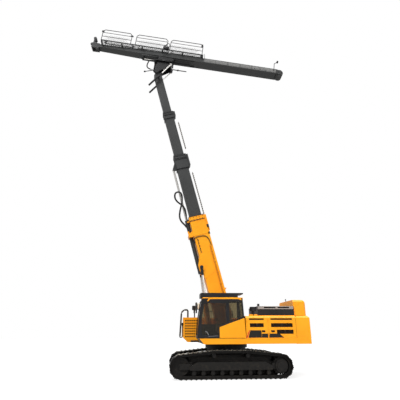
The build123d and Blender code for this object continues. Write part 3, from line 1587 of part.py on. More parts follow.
def guard_rail(s):
    """Three railing panels on one edge of the walkway."""
    y = s * (walk_half_width + rail_radius + running)
    z0 = beam_height + walk_lift
    top = beam_height + rail_height
    out = []
    for name, m0, m1 in rail_panels:
        parts = [rod((m0, y, z0), (m0, y, top - rail_corner), rail_radius),
                 rod((m0, y, top - rail_corner), (m0 + rail_corner, y, top), rail_radius),
                 rod((m0 + rail_corner, y, top), (m1 - rail_corner, y, top), rail_radius),
                 rod((m1 - rail_corner, y, top), (m1, y, top - rail_corner), rail_radius),
                 rod((m1, y, top - rail_corner), (m1, y, z0), rail_radius)]
        for share in (0.44, 0.76):
            z = beam_height + rail_height * share
            parts.append(rod((m0, y, z), (m1, y, z), rail_radius * 0.8))
        out.append(joined(parts))
    return group(out)


def lamp_post():
    """Bent post with a lamp at the rear of the mast."""
    y = beam_half_width + rail_radius + running
    m, reach = beam_rear + drum_radius, drum_radius
    n = beam_height
    parts = [rod((m, y, n / 2), (m, y, n + reach * 1.6), rail_radius),
             rod((m, y, n + reach * 1.6), (m - reach * 0.7, y, n + reach * 2.2), rail_radius),
             box(m - reach * 1.0, m - reach * 0.6, y - reach / 4, y + reach / 4, n + reach * 2.1, n + reach * 2.5)]
    return joined(parts)


boom_place = place_along((0, foot_z), boom_angle)
mast_place = place_along((mast_x, mast_z), mast_angle)
lift_place = place_along(lift_line()[0], lift_line()[2])
tilt_place = place_along(tilt_line()[0], tilt_line()[2])

left_track = track()
left_frame = track_frame()
rollers = track_rollers()
save("carbody", carbody())
save("slew_ring_lower", slew_ring(turret_top, ring_split, ring_radius))
save("track_left", left_track)
save("track_right", mirrored(left_track))
save("track_frame_left", left_frame)
save("track_frame_right", mirrored(left_frame))
save("track_rollers", group(rollers + [mirrored(roller) for roller in rollers]))
save("idlers", both(idler()))
save("sprockets", both(sprocket()))
save("final_drives", both(final_drive()))

save("slew_ring_upper", slew_ring(ring_split + running, deck_bottom, ring_upper_radius))
save("deck_frame", deck_frame())
save("deck_sills", group([side_sill(), right_sill()]))
save("cab_frame", cab_frame())
save("cab_panels", group([cab_roof(), cab_side_panel(), cab_band()]))
save("cab_glass", cab_glass())
save("cab_seat", cab_seat())
save("cab_guard", cab_guard())
save("cab_door", cab_door())
save("cab_door_glass", door_glass())
save("house_shell", house_shell())
half_post = hinge_post / 2
front_door = service_door(house_front - hinge_post, house_split + half_post, front_vents)
rear_door = service_door(house_split - half_post, deck_rear, rear_vents)
save("service_door_left_front", front_door)
save("service_door_left_rear", rear_door)
save("service_door_right_front", mirrored(front_door))
save("service_door_right_rear", mirrored(rear_door))
save("engine_block", engine_block())
save("counterweight", counterweight())
save("engine_hood", engine_hood())
save("rear_cover", rear_cover())
save("air_precleaner", air_precleaner())
save("storage_box", storage_box())
save("tank", tank())
save("handrails", handrails())
save("mirrors", mirrors())

save("boom_base", boom_base(), boom_place)
save("telescope_barrel", telescope_barrel(), boom_place)
save("boom_hose", hose(boom_hose_route, hose_radius), boom_place)
save("boom_section_2", boom_section_2(), boom_place)
save("telescope_rod", telescope_rod(), boom_place)
save("boom_section_3", boom_section(sections[1]), boom_place)
save("boom_section_4", boom_section_4(), boom_place)
save("lift_barrels", both(lift_barrel()), lift_place)
save("lift_rods", both(lift_rod()), lift_place)
save("tilt_barrels", both(tilt_barrel()), tilt_place)
save("tilt_rods", both(tilt_rod()), tilt_place)

save("tilt_bracket", tilt_bracket(), mast_place)
save("swing_drive", swing_drive(), mast_place)
save("head_hose", hose(head_hose_route, head_hose_radius), mast_place)
save("swing_ring", swing_ring(bearing_split + running, saddle_level, bearing_radius), mast_place)
save("mast_saddle", mast_saddle(), mast_place)
save("slide_barrel", slide_barrel(), mast_place)
save("slide_rod", slide_rod(), mast_place)
save("mast_beam", mast_beam(), mast_place)
save("drill_carriage", drill_carriage(), mast_place)
save("drill_string", drill_string(), mast_place)
save("rod_clamp", rod_clamp(), mast_place)
save("feed_drum", group([feed_drum(), both(drum_plates())]), mast_place)
save("walkway", walkway(), mast_place)
save("guard_rails", group([guard_rail(1), guard_rail(-1)]), mast_place)
save("lamp_post", lamp_post(), mast_place)
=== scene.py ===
import bpy
import json
import math
from mathutils import Matrix, Vector


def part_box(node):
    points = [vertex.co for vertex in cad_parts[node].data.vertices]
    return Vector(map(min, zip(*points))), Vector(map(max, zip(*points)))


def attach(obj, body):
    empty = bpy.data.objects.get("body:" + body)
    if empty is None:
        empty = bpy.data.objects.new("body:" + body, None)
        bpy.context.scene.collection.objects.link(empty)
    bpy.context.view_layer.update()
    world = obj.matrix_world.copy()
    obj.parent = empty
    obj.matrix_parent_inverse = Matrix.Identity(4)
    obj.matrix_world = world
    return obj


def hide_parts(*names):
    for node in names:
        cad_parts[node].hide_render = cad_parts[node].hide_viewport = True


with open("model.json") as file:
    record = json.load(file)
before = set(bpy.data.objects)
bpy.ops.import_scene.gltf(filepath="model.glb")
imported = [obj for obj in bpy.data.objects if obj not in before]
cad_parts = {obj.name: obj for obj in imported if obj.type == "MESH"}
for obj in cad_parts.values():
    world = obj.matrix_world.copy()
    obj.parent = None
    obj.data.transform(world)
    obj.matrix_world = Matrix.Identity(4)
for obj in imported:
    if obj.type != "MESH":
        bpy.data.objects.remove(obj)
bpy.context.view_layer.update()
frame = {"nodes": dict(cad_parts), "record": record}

print("frame loaded:", len(frame["nodes"]), "nodes")

# The photographer stands at the machine's left, low down, and looks up and slightly back.
cameraSettings = {
    "place": (0.7802, 18.9125, 1.9624),
    "yaw": -4.5693,  # degrees, all three
    "pitch": 19.6692,
    "roll": -0.2644,
    "lens": 33.081,
    "sensor": 36,  # mm wide
    "farEnd": 400,
}


def makeCamera(s):
    yaw, pitch, roll = (math.radians(s[k]) for k in ("yaw", "pitch", "roll"))
    look = Vector((math.sin(yaw) * math.cos(pitch), -math.cos(yaw) * math.cos(pitch), math.sin(pitch)))
    level = Vector((-math.cos(yaw), -math.sin(yaw), 0))
    over = level.cross(look).normalized()
    right = level * math.cos(roll) + over * math.sin(roll)
    up = over * math.cos(roll) - level * math.sin(roll)
    data = bpy.data.cameras.new("camera")
    data.lens = s["lens"]
    data.sensor_width = s["sensor"]
    data.clip_end = s["farEnd"]
    camera = bpy.data.objects.new("camera", data)
    turn = Matrix((right, up, -look)).transposed()
    camera.matrix_world = Matrix.Translation(s["place"]) @ turn.to_4x4()
    bpy.context.scene.collection.objects.link(camera)
    bpy.context.scene.camera = camera


makeCamera(cameraSettings)
print("camera placed")

# Local frames, as the part's source has them: along, across, and up from the boom's and the mast's own zero.
slewX = -1.96


def localFrame(degrees, x, z):
    c, s = math.cos(math.radians(degrees)), math.sin(math.radians(degrees))
    return Matrix(((c, 0, -s, x + slewX), (0, 1, 0, 0), (s, 0, c, z), (0, 0, 0, 1)))


boomFrame = localFrame(75.5, 0, 2.05)
mastFrame = localFrame(7, 3.34, 18.03)
houseFrame = Matrix.Translation((slewX, 0, 0))
bodyFrames = {"boom": boomFrame, "section_2": boomFrame, "section_3": boomFrame, "mast": mastFrame}


def clearSelection():
    bpy.ops.object.select_all(action="DESELECT")


def pickOnly(piece):
    clearSelection()
    piece.select_set(True)
    bpy.context.view_layer.objects.active = piece


def makeHose(name, s):
    line = bpy.data.curves.new(name, "CURVE")
    line.dimensions = "3D"
    line.bevel_depth = s["diameter"] / 2
    line.bevel_resolution = 5
    line.resolution_u = 12
    line.use_fill_caps = True
    spline = line.splines.new("NURBS")
    places = [s["frame"] @ Vector(place) for place in s["route"]]
    spline.points.add(len(places) - 1)
    for point, place in zip(spline.points, places):
        point.co = (*place, 1)
    spline.order_u = 3
    spline.use_endpoint_u = True
    hose = bpy.data.objects.new(name, line)
    bpy.context.scene.collection.objects.link(hose)
    sleeve = hose.copy()
    sleeve.data = line.copy()
    sleeve.name = name + "Sleeve"
    sleeve.data.bevel_depth = s["sleeve"] / 2
    sleeve.data.bevel_factor_start, sleeve.data.bevel_factor_end = s["sleeved"]
    bpy.context.scene.collection.objects.link(sleeve)
    pickOnly(sleeve)
    bpy.ops.object.convert(target="MESH")
    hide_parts(s["node"])
    for piece in (hose, sleeve):
        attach(piece, s["body"])
    return [hose, sleeve]


# Each route runs from one gland to the other, in metres in its own frame.
boomHoseSettings = {
    "frame": boomFrame, "body": "boom", "node": "boom_hose", "diameter": 0.055, "length": 4.45,
    "sleeve": 0.092, "sleeved": (0.06, 0.94),
    "route": [(5.15, 0.22, -0.60), (5.42, 0.22, -0.60), (5.80, 0.22, -0.86), (6.20, 0.222, -0.84),
              (6.90, 0.226, -0.47), (7.42, 0.215, -0.43), (7.46, 0.185, -0.79), (7.006, 0.16, -0.862),
              (6.55, 0.155, -0.44), (6.05, 0.15, -0.49), (5.70, 0.15, -0.49)],
}
headHoseSettings = {
    "frame": mastFrame, "body": "head", "node": "head_hose", "diameter": 0.035, "length": 1.31,
    "sleeve": 0.070, "sleeved": (0.14, 0.86),
    "route": [(0.53, 0.28, -1.10), (0.78, 0.28, -1.10), (1.05, 0.284, -0.95), (1.02, 0.284, -0.62),
              (0.93, 0.28, -0.38), (0.67, 0.28, -0.38)],
}
hoses = makeHose("boomHose", boomHoseSettings) + makeHose("headHose", headHoseSettings)
print("hoses laid:", len(hoses))


def linear(hexColour):
    parts = [int(hexColour[i:i + 2], 16) / 255 for i in (1, 3, 5)]
    return tuple(c / 12.92 if c <= 0.04045 else ((c + 0.055) / 1.055) ** 2.4 for c in parts) + (1,)


def addNode(tree, kind, settings=None, links=None):
    node = tree.nodes.new(kind)
    for key, value in (settings or {}).items():
        if isinstance(key, int) or key in node.inputs:
            node.inputs[key].default_value = value
        else:
            setattr(node, key, value)
    for key, (source, output) in (links or {}).items():
        tree.links.new(source.outputs[output], node.inputs[key])
    return node


def newMaterial(name):
    material = bpy.data.materials.new(name)
    material.use_nodes = True
    return material, material.node_tree, material.node_tree.nodes["Principled BSDF"]


def perMetre(millimetres):
    return 1000 / millimetres  # noise scale for a pattern of this size


def addNoise(tree, place, millimetres, detail, rough=0.5):
    settings = {"Scale": perMetre(millimetres), "Detail": detail, "Roughness": rough}
    return addNode(tree, "ShaderNodeTexNoise", settings, {"Vector": (place, "Object")})


def addRange(tree, source, output, low, high, least=0, most=1):
    settings = {"From Min": low, "From Max": high, "To Min": least, "To Max": most}
    return addNode(tree, "ShaderNodeMapRange", settings, {"Value": (source, output)})


def addMath(tree, operation, first, second):
    return addNode(tree, "ShaderNodeMath", {"operation": operation}, {0: first, 1: second})


def linkTone(tree, surface, source, output, stops):  # a ramp, linked to the surface if there is one
    ramp = addNode(tree, "ShaderNodeValToRGB", links={"Fac": (source, output)})
    for element, (place, colour) in zip(ramp.color_ramp.elements, stops):
        element.position = place
        element.color = linear(colour)
    for place, colour in stops[2:]:
        ramp.color_ramp.elements.new(place).color = linear(colour)
    if surface:
        tree.links.new(ramp.outputs["Color"], surface.inputs["Base Color"])
    return ramp


def linkRoughness(tree, surface, source, least, most):
    rough = addRange(tree, source, "Fac", 0, 1, least, most)
    tree.links.new(rough.outputs["Result"], surface.inputs["Roughness"])


def linkBump(tree, surface, source, output, strength, distance):
    bump = addNode(tree, "ShaderNodeBump", {"Strength": strength, "Distance": distance},
                   {"Height": (source, output)})
    tree.links.new(bump.outputs["Normal"], surface.inputs["Normal"])


def setValues(surface, values):
    for key, value in values.items():
        surface.inputs[key].default_value = value


def linkShaders(tree, factor, first, second, target):
    mixed = addNode(tree, "ShaderNodeMixShader", links={"Fac": (factor, "Value"), 1: first, 2: second})
    tree.links.new(mixed.outputs["Shader"], tree.nodes[target].inputs["Surface"])


# Sprayed two-pack enamel on steel: a slight orange peel, a little faded in broad patches, dusty low down.
def sprayedEnamel(name, colour, faded, patch, grit=40, peel=10, rough=0.5, coat=0.0, gloss=0.3, dust=0.1,
                  dustTop=2.0):
    material, tree, surface = newMaterial(name)
    place = addNode(tree, "ShaderNodeTexCoord")
    fade = addNoise(tree, place, patch, 3.0)
    tone = linkTone(tree, None, fade, "Fac", [(0.35, colour), (0.70, faded)])
    grain = addNoise(tree, place, grit, 6.0, 0.7)
    specks = linkTone(tree, None, grain, "Fac", [(0.56, "#000000"), (0.74, "#FFFFFF")])
    height = addNode(tree, "ShaderNodeSeparateXYZ", links={"Vector": (place, "Object")})
    low = addRange(tree, height, "Z", dustTop, 0.3, 0.02, dust)
    amount = addMath(tree, "MULTIPLY", (specks, "Color"), (low, "Result"))
    dusty = addNode(tree, "ShaderNodeMix", {"data_type": "RGBA", 7: linear("#8A7B66")},
                    {0: (amount, "Value"), 6: (tone, "Color")})
    tree.links.new(dusty.outputs[2], surface.inputs["Base Color"])
    linkRoughness(tree, surface, grain, rough - 0.05, rough + 0.12)
    linkBump(tree, surface, addNoise(tree, place, peel, 2.0), "Fac", 0.12, 0.002)
    setValues(surface, {"Coat Weight": coat, "Coat Roughness": 0.2, "Specular IOR Level": gloss})
    return material


# Hot-rolled steel ground bright by soil: brown-black scale with pale scratches and rust in the hollows; the
# optional bright top is painted highlight, partly rubbed steel.
def wornSteel(name, colours, patch, pit, metal, topHighlight=None):
    material, tree, surface = newMaterial(name)
    place = addNode(tree, "ShaderNodeTexCoord")
    scale = addNoise(tree, place, patch, 8.0, 0.65)
    tone = linkTone(tree, surface, scale, "Fac", list(zip((0.30, 0.52, 0.66, 0.80), colours)))
    # The bright upper edge is a painted highlight on upward faces up high, standing for lit shoe ends; only
    # in part rubbed steel.
    if topHighlight:  # a bright upper edge where the shoes rub
        low, high, bright = topHighlight
        facing = addNode(tree, "ShaderNodeNewGeometry")
        upward = addNode(tree, "ShaderNodeSeparateXYZ", links={"Vector": (facing, "Normal")})
        height = addNode(tree, "ShaderNodeSeparateXYZ", links={"Vector": (place, "Object")})
        risen = addRange(tree, height, "Z", low, high)
        flat = addRange(tree, upward, "Z", 0.55, 0.85)
        patchy = addRange(tree, scale, "Fac", 0.38, 0.60)
        both = addMath(tree, "MULTIPLY", (risen, "Result"), (flat, "Result"))
        share = addMath(tree, "MULTIPLY", (both, "Value"), (patchy, "Result"))
        highlighted = addNode(tree, "ShaderNodeMix", {"data_type": "RGBA", 7: linear(bright)},
                         {0: (share, "Value"), 6: (tone, "Color")})
        tree.links.new(highlighted.outputs[2], surface.inputs["Base Color"])
    setValues(surface, {"Metallic": metal, "Specular IOR Level": 0.25})
    linkRoughness(tree, surface, scale, 0.42, 0.8)
    linkBump(tree, surface, addNoise(tree, place, pit, 5.0), "Fac", 0.35, 0.004)
    return material


# Hard chrome on a ground rod: bright, nearly a mirror, with an oil film that dulls it in streaks.
def hardChrome(name):
    material, tree, surface = newMaterial(name)
    film = addNoise(tree, addNode(tree, "ShaderNodeTexCoord"), 180, 4.0)
    linkRoughness(tree, surface, film, 0.06, 0.24)
    linkTone(tree, surface, film, "Fac", [(0.3, "#E6E4E0"), (0.7, "#D2CFCA")])
    setValues(surface, {"Metallic": 0.7})
    return material


# Toughened glass with a bronze tint: dark, glossy, and clear enough to show the seat behind it.
def bronzeGlass(name):
    material, tree, surface = newMaterial(name)
    smear = addNoise(tree, addNode(tree, "ShaderNodeTexCoord"), 350, 3.0)
    linkTone(tree, surface, smear, "Fac", [(0.3, "#9C937A"), (0.7, "#A89F86")])
    linkRoughness(tree, surface, smear, 0.02, 0.08)
    setValues(surface, {"Transmission Weight": 1.0, "IOR": 1.45})
    rays = addNode(tree, "ShaderNodeLightPath")
    either = addMath(tree, "MAXIMUM", (rays, "Is Shadow Ray"), (rays, "Is Diffuse Ray"))
    clear = addNode(tree, "ShaderNodeBsdfTransparent", {"Color": linear("#E9E1CC")})
    linkShaders(tree, either, (surface, "BSDF"), (clear, "BSDF"), "Material Output")
    return material


# Moulded plastic, rubber, vinyl and pressed glass: one tone with a fine grain.
def mouldedMatt(name, colour, worn, rough, grain):
    material, tree, surface = newMaterial(name)
    noise = addNoise(tree, addNode(tree, "ShaderNodeTexCoord"), grain, 5.0)
    linkTone(tree, surface, noise, "Fac", [(0.3, colour), (0.75, worn)])
    linkBump(tree, surface, noise, "Fac", 0.3, 0.001)
    setValues(surface, {"Roughness": rough, "Specular IOR Level": 0.25})
    return material


# Woven seat cloth: ribbed twill, drawn coarser than the real 1 mm thread so that it shows.
def wovenCloth(name, colour, deep, thread):
    material, tree, surface = newMaterial(name)
    place = addNode(tree, "ShaderNodeTexCoord")
    across, along = (addNode(tree, "ShaderNodeTexWave", {"Scale": perMetre(thread) / 6.3, "Distortion": 0.4,
                                                         "bands_direction": way},
                             {"Vector": (place, "Object")}) for way in ("Y", "DIAGONAL"))
    weave = addMath(tree, "MULTIPLY", (across, "Fac"), (along, "Fac"))
    linkTone(tree, surface, weave, "Value", [(0.1, deep), (0.8, colour)])
    linkBump(tree, surface, weave, "Value", 0.4, 0.001)
    setValues(surface, {"Roughness": 0.85, "Sheen Weight": 0.3})
    return material


amber = sprayedEnamel("amberEnamel", "#F49B02", "#F7A50C", patch=900, grit=60, peel=14, rough=0.36, coat=0.12,
                      dust=0.3, dustTop=2.2)
sectionGrey = sprayedEnamel("greyEnamel", "#333434", "#3A3B3B", patch=1200, grit=45, peel=12, gloss=0.22,
                            dust=0.2)
blackEnamel = sprayedEnamel("blackEnamel", "#141415", "#1D1D1F", patch=700, grit=50, rough=0.42, gloss=0.25,
                            dust=0.25, dustTop=2.5)
rimGrey = sprayedEnamel("paleGreyEnamel", "#8B8783", "#979390", patch=500, dustTop=2.5)
# Paler grey for the beam's side plates: painted highlight for the lit side face.
sheenPlateGrey = sprayedEnamel("sheenGreyEnamel", "#6A6A69", "#7C7C7A", patch=300, rough=0.55)
# Deeper amber for the boom's side pipes: painted shade for the boom's shaded rear edge.
shadedPipeEnamel = sprayedEnamel("shadedPipeEnamel", "#C9780A", "#D2841A", patch=400, rough=0.45, gloss=0.25, dust=0.3,
                           dustTop=2.2)
# The track's upper run gets a painted highlight on its upward faces, partly rubbed steel.
trackSteel = wornSteel("trackSteel", ("#0E0D0C", "#191715", "#26221D", "#4A453E"), patch=160, pit=12,
                       metal=0.3, topHighlight=(0.90, 1.02, "#A8A294"))
drillSteel = wornSteel("drillSteel", ("#3A3938", "#55524E", "#6A645A", "#8A857C"), patch=120, pit=8,
                       metal=0.8)
chainSteel = wornSteel("chainSteel", ("#4F4C48", "#6E6A64", "#6A655B", "#A8A49C"), patch=60, pit=6,
                       metal=0.6)
meshSteel = wornSteel("meshSteel", ("#6F6F6F", "#8A8A8A", "#96948F", "#B5B5B3"), patch=90, pit=5,
                      metal=0.3)
chrome = hardChrome("hardChrome")
glass = bronzeGlass("bronzeGlass")
seatPlastic = mouldedMatt("mouldedPlastic", "#2B2620", "#3A332A", rough=0.6, grain=5)
hoseRubber = mouldedMatt("hoseRubber", "#161616", "#222222", rough=0.55, grain=7)
# Dark amber for the panel seams: painted shade in the gaps between panels.
seamShadeBrown = mouldedMatt("seamShadeAmber", "#7A4A08", "#8A5610", rough=0.6, grain=8)
ventBlack = mouldedMatt("stovedBlack", "#1C120A", "#2A1C10", rough=0.5, grain=12)
decalBlack = mouldedMatt("vinylBlack", "#17130F", "#221C16", rough=0.4, grain=30)
decalRed = mouldedMatt("vinylRed", "#C23A22", "#CE4A2C", rough=0.4, grain=30)
lampGlass = mouldedMatt("pressedGlass", "#D9D6C4", "#EFECDC", rough=0.15, grain=8)
seatCloth = wovenCloth("seatTwill", "#8A7A4E", "#5C4F30", thread=4)

slotMaterials = {
    "body_paint": amber,
    "yellow_steel": amber,
    "dark_paint": sectionGrey,
    "black_paint": blackEnamel,
    "track_steel": trackSteel,
    "chrome_rod": chrome,
    "tinted_glass": glass,
    "seat_plastic": seatPlastic,
    "engine_iron": drillSteel,
    "drill_steel": drillSteel,
    "hose_rubber": hoseRubber,
}
headNodes = ("mast_saddle", "tilt_bracket", "swing_drive", "swing_ring")  # a darker black than the sections
for row in frame["record"]["subparts"]:
    node = frame["nodes"][row["node"]]
    slotMaterial = slotMaterials[row["material_slot"]]
    node.data.materials.clear()
    node.data.materials.append(blackEnamel if row["node"] in headNodes else slotMaterial)
for hose in hoses:
    hose.data.materials.append(hoseRubber)
print("materials on the frame")


# Shaping, in edit mode, of one primitive at a time.
def applyPlace():
    bpy.ops.object.transform_apply(location=True, rotation=True, scale=True)


def roundEdges(piece, width):
    bevel = piece.modifiers.new("edges", "BEVEL")
    bevel.width = width
    bevel.segments = 2
    bevel.limit_method = "ANGLE"
    bevel.angle_limit = math.radians(40)
    bpy.context.view_layer.objects.active = piece
    bpy.ops.object.modifier_apply(modifier="edges")
    return piece


def block(corner, opposite, edge=0):  # the corners may come in any order
    low, high = zip(*(sorted(pair) for pair in zip(corner, opposite)))
    clearSelection()
    bpy.ops.mesh.primitive_cube_add(size=1, location=[(a + b) / 2 for a, b in zip(low, high)])
    piece = bpy.context.object
    piece.scale = [b - a for a, b in zip(low, high)]
    applyPlace()
    return roundEdges(piece, edge) if edge else piece


def bar(start, end, radius, sides=12, edge=0):
    a, b = Vector(start), Vector(end)
    clearSelection()
    bpy.ops.mesh.primitive_cylinder_add(vertices=sides, radius=radius, depth=(b - a).length,
                                        location=(a + b) / 2)
    piece = bpy.context.object
    piece.rotation_mode = "QUATERNION"
    piece.rotation_quaternion = (b - a).to_track_quat("Z", "Y")
    applyPlace()
    return roundEdges(piece, edge) if edge else piece


# Each row holds block or bar, its two points and what else it takes. Side -1 is the machine's right.
def makeParts(rows, place=(0, 0, 0), sides=(1,)):
    parts = []
    for side in sides:
        for make, start, end, *rest in rows:
            a, b = (Vector(place) + Vector((x, y * side, z)) for x, y, z in (start, end))
            parts.append(make(a, b, *rest))
    return parts


def pipe(points, radius):  # a bent steel pipe
    points = [Vector(point) for point in points]
    while len(points) < 5:  # the path has five points at least
        gaps = [(b - a).length for a, b in zip(points, points[1:])]
        i = gaps.index(max(gaps))
        points.insert(i + 1, (points[i] + points[i + 1]) / 2)
    clearSelection()
    bpy.ops.curve.primitive_nurbs_path_add(location=(0, 0, 0))
    path = bpy.context.object
    spline = path.data.splines[0]
    while len(spline.points) < len(points):
        spline.points.add(1)
    for point, place in zip(spline.points, points):
        point.co = (*place, 1)
    spline.order_u = 3
    spline.use_endpoint_u = True
    path.data.bevel_depth = radius
    path.data.bevel_resolution = 3
    path.data.resolution_u = 6
    path.data.use_fill_caps = True
    bpy.ops.object.convert(target="MESH")
    return bpy.context.object


def inEditMode(piece, step):  # runs the step with every face selected
    pickOnly(piece)
    bpy.ops.object.mode_set(mode="EDIT")
    bpy.ops.mesh.select_all(action="SELECT")
    step()
    bpy.ops.object.mode_set(mode="OBJECT")
    return piece


def cutAway(piece, point, outward):  # takes off what lies beyond a plane
    return inEditMode(piece, lambda: bpy.ops.mesh.bisect(plane_co=point, plane_no=outward, clear_outer=True,
                                                         use_fill=True))


def copyPiece(source, shift, turn=None):
    twin = source.copy()
    twin.data = source.data.copy()
    bpy.context.scene.collection.objects.link(twin)
    twin.data.transform(Matrix.Translation(shift) @ (turn or Matrix.Identity(4)))
    return twin


def mirrorPiece(source):  # to the other side of the machine
    twin = copyPiece(source, (0, 0, 0), Matrix.Scale(-1, 4, (0, 1, 0)))
    return inEditMode(twin, lambda: bpy.ops.mesh.normals_make_consistent(inside=False))


def joinPieces(pieces):
    if len(pieces) > 1:
        clearSelection()
        for piece in pieces:
            piece.select_set(True)
        bpy.context.view_layer.objects.active = pieces[0]
        bpy.ops.object.join()
    return pieces[0]


def removePieces(*pieces):
    for piece in pieces:
        bpy.data.objects.remove(piece)


def finishPiece(parts, name, body, material, smooth=35):
    piece = joinPieces(parts) if isinstance(parts, list) else parts
    piece.name = name
    piece.data.transform(bodyFrames.get(body, houseFrame))
    piece.data.materials.clear()
    piece.data.materials.append(material)
    pickOnly(piece)
    bpy.ops.object.shade_smooth_by_angle(angle=math.radians(smooth))
    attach(piece, body)
    return piece


def finishPair(piece, name, body, material):  # the left one, and its twin on the right
    twin = mirrorPiece(piece)
    finishPiece(piece, name + "Left", body.format("left"), material)
    finishPiece(twin, name + "Right", body.format("right"), material)


# A broad black wedge and a red bar cross the lower edge of the side doors.
stripeSettings = {
    "face": 1.50, "thick": 0.003, "low": 1.685, "high": 1.999, "step": 1.855,
    # rear and front end, level of the top, then x, level and outward direction of each slanting cut
    "wedge": (-1.420, -0.80, "high", [(-0.808, "low", (0.95, 0, 0.31)), (-1.40, "high", (-0.97, 0, 0.25))]),
    "band": (-1.712, -1.430, "step", []),
    "rearBand": (-2.445, -1.768, "step", [(-2.245, "step", (-0.64, 0, 0.77))]),
    "flash": (-0.91, -0.70, "high", [(-0.69, "low", (0.875, 0, 0.485)), (-0.775, "low", (-0.93, 0, -0.36))]),
}


def makeStrip(s, name):
    start, end, top, cuts = s[name]
    piece = block((start, s["face"], s["low"]), (end, s["face"] + s["thick"], s[top]))
    for x, level, outward in cuts:
        cutAway(piece, (x, 0, s[level]), outward)
    return piece


def makeStripes(s):
    front = joinPieces([makeStrip(s, "wedge"), makeStrip(s, "band")])
    rear = makeStrip(s, "rearBand")
    flash = makeStrip(s, "flash")
    finishPair(front, "stripeFront", "door_{}_front", decalBlack)
    finishPair(rear, "stripeRear", "door_{}_rear", decalBlack)
    finishPair(flash, "flash", "door_{}_front", decalRed)


makeStripes(stripeSettings)
print("side stripes on the doors")

# Pressed fins stand in every air slot of the doors, with a dark sheet behind them and a post in the middle.
ventSettings = {
    "deckTop": 1.66, "bevel": 2.54, "face": 1.500, "skin": 0.040, "pitch": 0.024, "fin": 0.017, "lean": 35,
    "halfThick": 0.001, "clear": 0.004, "lap": 0.010, "sheet": (-0.004, -0.001),
    "post": 0.03, "postDepth": (-0.043, -0.0008),
    # first and last x, then the left, right, low and high share of each slot
    "front": (-0.765, -1.725, [(0.125, 0.83, 0.89, 0.97), (0.154, 0.811, 0.535, 0.73),
                               (0.704, 0.868, 0.283, 0.386)]),
    "rear": (-1.755, -3.05, [(0.086, 0.869, 0.89, 0.97), (0.094, 0.876, 0.535, 0.73),
                             (0.085, 0.219, 0.283, 0.386), (0.290, 0.888, 0.205, 0.409)]),
}


def makeVents(s, door):
    x0, x1, shares = s[door]
    height = s["bevel"] - s["deckTop"]
    inner, lap, half = s["face"] - s["skin"], s["lap"], s["fin"] / 2
    fins = []
    for a, b, c, d in shares:
        left, right = x0 + (x1 - x0) * a, x0 + (x1 - x0) * b
        low, high = s["deckTop"] + height * c, s["deckTop"] + height * d
        back, front = (inner + depth for depth in s["sheet"])
        fins.append(block((right - lap, back, low - lap), (left + lap, front, high + lap)))
        fin = block((right, -half, -s["halfThick"]), (left, half, s["halfThick"]))
        fin.data.transform(Matrix.Rotation(math.radians(s["lean"]), 4, "X"))
        count = max(1, int((high - low) / s["pitch"]))
        for i in range(count):
            z = low + (i + 0.5) * (high - low) / count
            fins.append(copyPiece(fin, (0, inner + half + s["clear"], z)))
        removePieces(fin)
        middle = (left + right) / 2
        back, front = (s["face"] + depth for depth in s["postDepth"])
        fins.append(block((middle - s["post"], back, low), (middle + s["post"], front, high), 0.001))
    finishPair(joinPieces(fins), "vents" + door.title(), "door_{}_" + door, ventBlack)


makeVents(ventSettings, "front")
makeVents(ventSettings, "rear")
print("fins in the air slots")

# The hood carries a pale pressed rim along its left shoulder, around its two long slots.
rimSettings = {"y": 1.05, "thick": 0.006, "low": 2.945, "high": 3.078, "ends": (-1.40, -3.12), "edge": 0.002,
               "slots": [(-1.700, -2.265), (-2.365, -2.930)], "slotLow": 2.985, "slotHigh": 3.045}


def makeHoodRim(s):
    y0, y1 = s["y"], s["y"] + s["thick"]
    edges = [s["ends"][0], *[x for slot in s["slots"] for x in slot], s["ends"][1]]
    spans = [(*s["ends"], s["low"], s["slotLow"]), (*s["ends"], s["slotHigh"], s["high"])]
    spans += [(right, left, s["slotLow"], s["slotHigh"]) for right, left in zip(edges[::2], edges[1::2])]
    strips = [block((right, y0, low), (left, y1, high), s["edge"]) for right, left, low, high in spans]
    finishPiece(strips, "hoodRim", "hood", rimGrey)


makeHoodRim(rimSettings)

# A short aerial on the rear cover.
aerialSettings = {
    "foot": (-3.20, -0.30, 3.36),
    "parts": [(bar, (0, 0, 0), (0, 0, 0.15), 0.012, 12), (bar, (0, 0, 0.08), (0, 0, 0.15), 0.026, 16, 0.006),
              (bar, (0, 0, 0), (0, 0, 0.02), 0.0364, 16, 0.004)],
}
finishPiece(makeParts(aerialSettings["parts"], aerialSettings["foot"]), "aerial", "house", blackEnamel)
print("rim and aerial in place")

# Leaf chains run up the boom's rear, from the housing of one collar to the lug of the next.
chainSettings = {
    "pitch": 0.0625, "halfLink": 0.036, "halfThick": 0.005, "halfPin": 0.030, "pin": 0.014,
    # half height, edge and distance from the lane of each kind of plate
    "outer": (0.034, 0.010, 0.024), "inner": (0.012, 0.004, 0.012),
    # body, start, end, level and lane of each run
    "runs": [("section_2", 5.95, 8.55, 0.500, -0.06), ("section_3", 9.95, 11.80, 0.468, 0.06)],
}


def makeChain(s, name, body, start, end, level, lane):
    links = []
    for high, edge, row in (s["inner"], s["outer"]):
        corner = Vector((s["halfLink"], s["halfThick"], high))
        links.append((block(-corner, corner, edge), row))
    pin = bar((0, -s["halfPin"], 0), (0, s["halfPin"], 0), s["pin"], 8)
    parts = []
    for i in range(int((end - start) / s["pitch"])):
        u = start + (i + 0.5) * s["pitch"]
        source, row = links[i % 2]
        for y in (-row, row):
            parts.append(copyPiece(source, (u, lane + y, level)))
        parts.append(copyPiece(pin, (u + s["pitch"] / 2, lane, level)))
    removePieces(pin, *[source for source, row in links])
    finishPiece(parts, name, body, chainSteel)


for number, run in enumerate(chainSettings["runs"]):
    makeChain(chainSettings, f"leafChain{number + 1}", *run)
print("leaf chains hung")

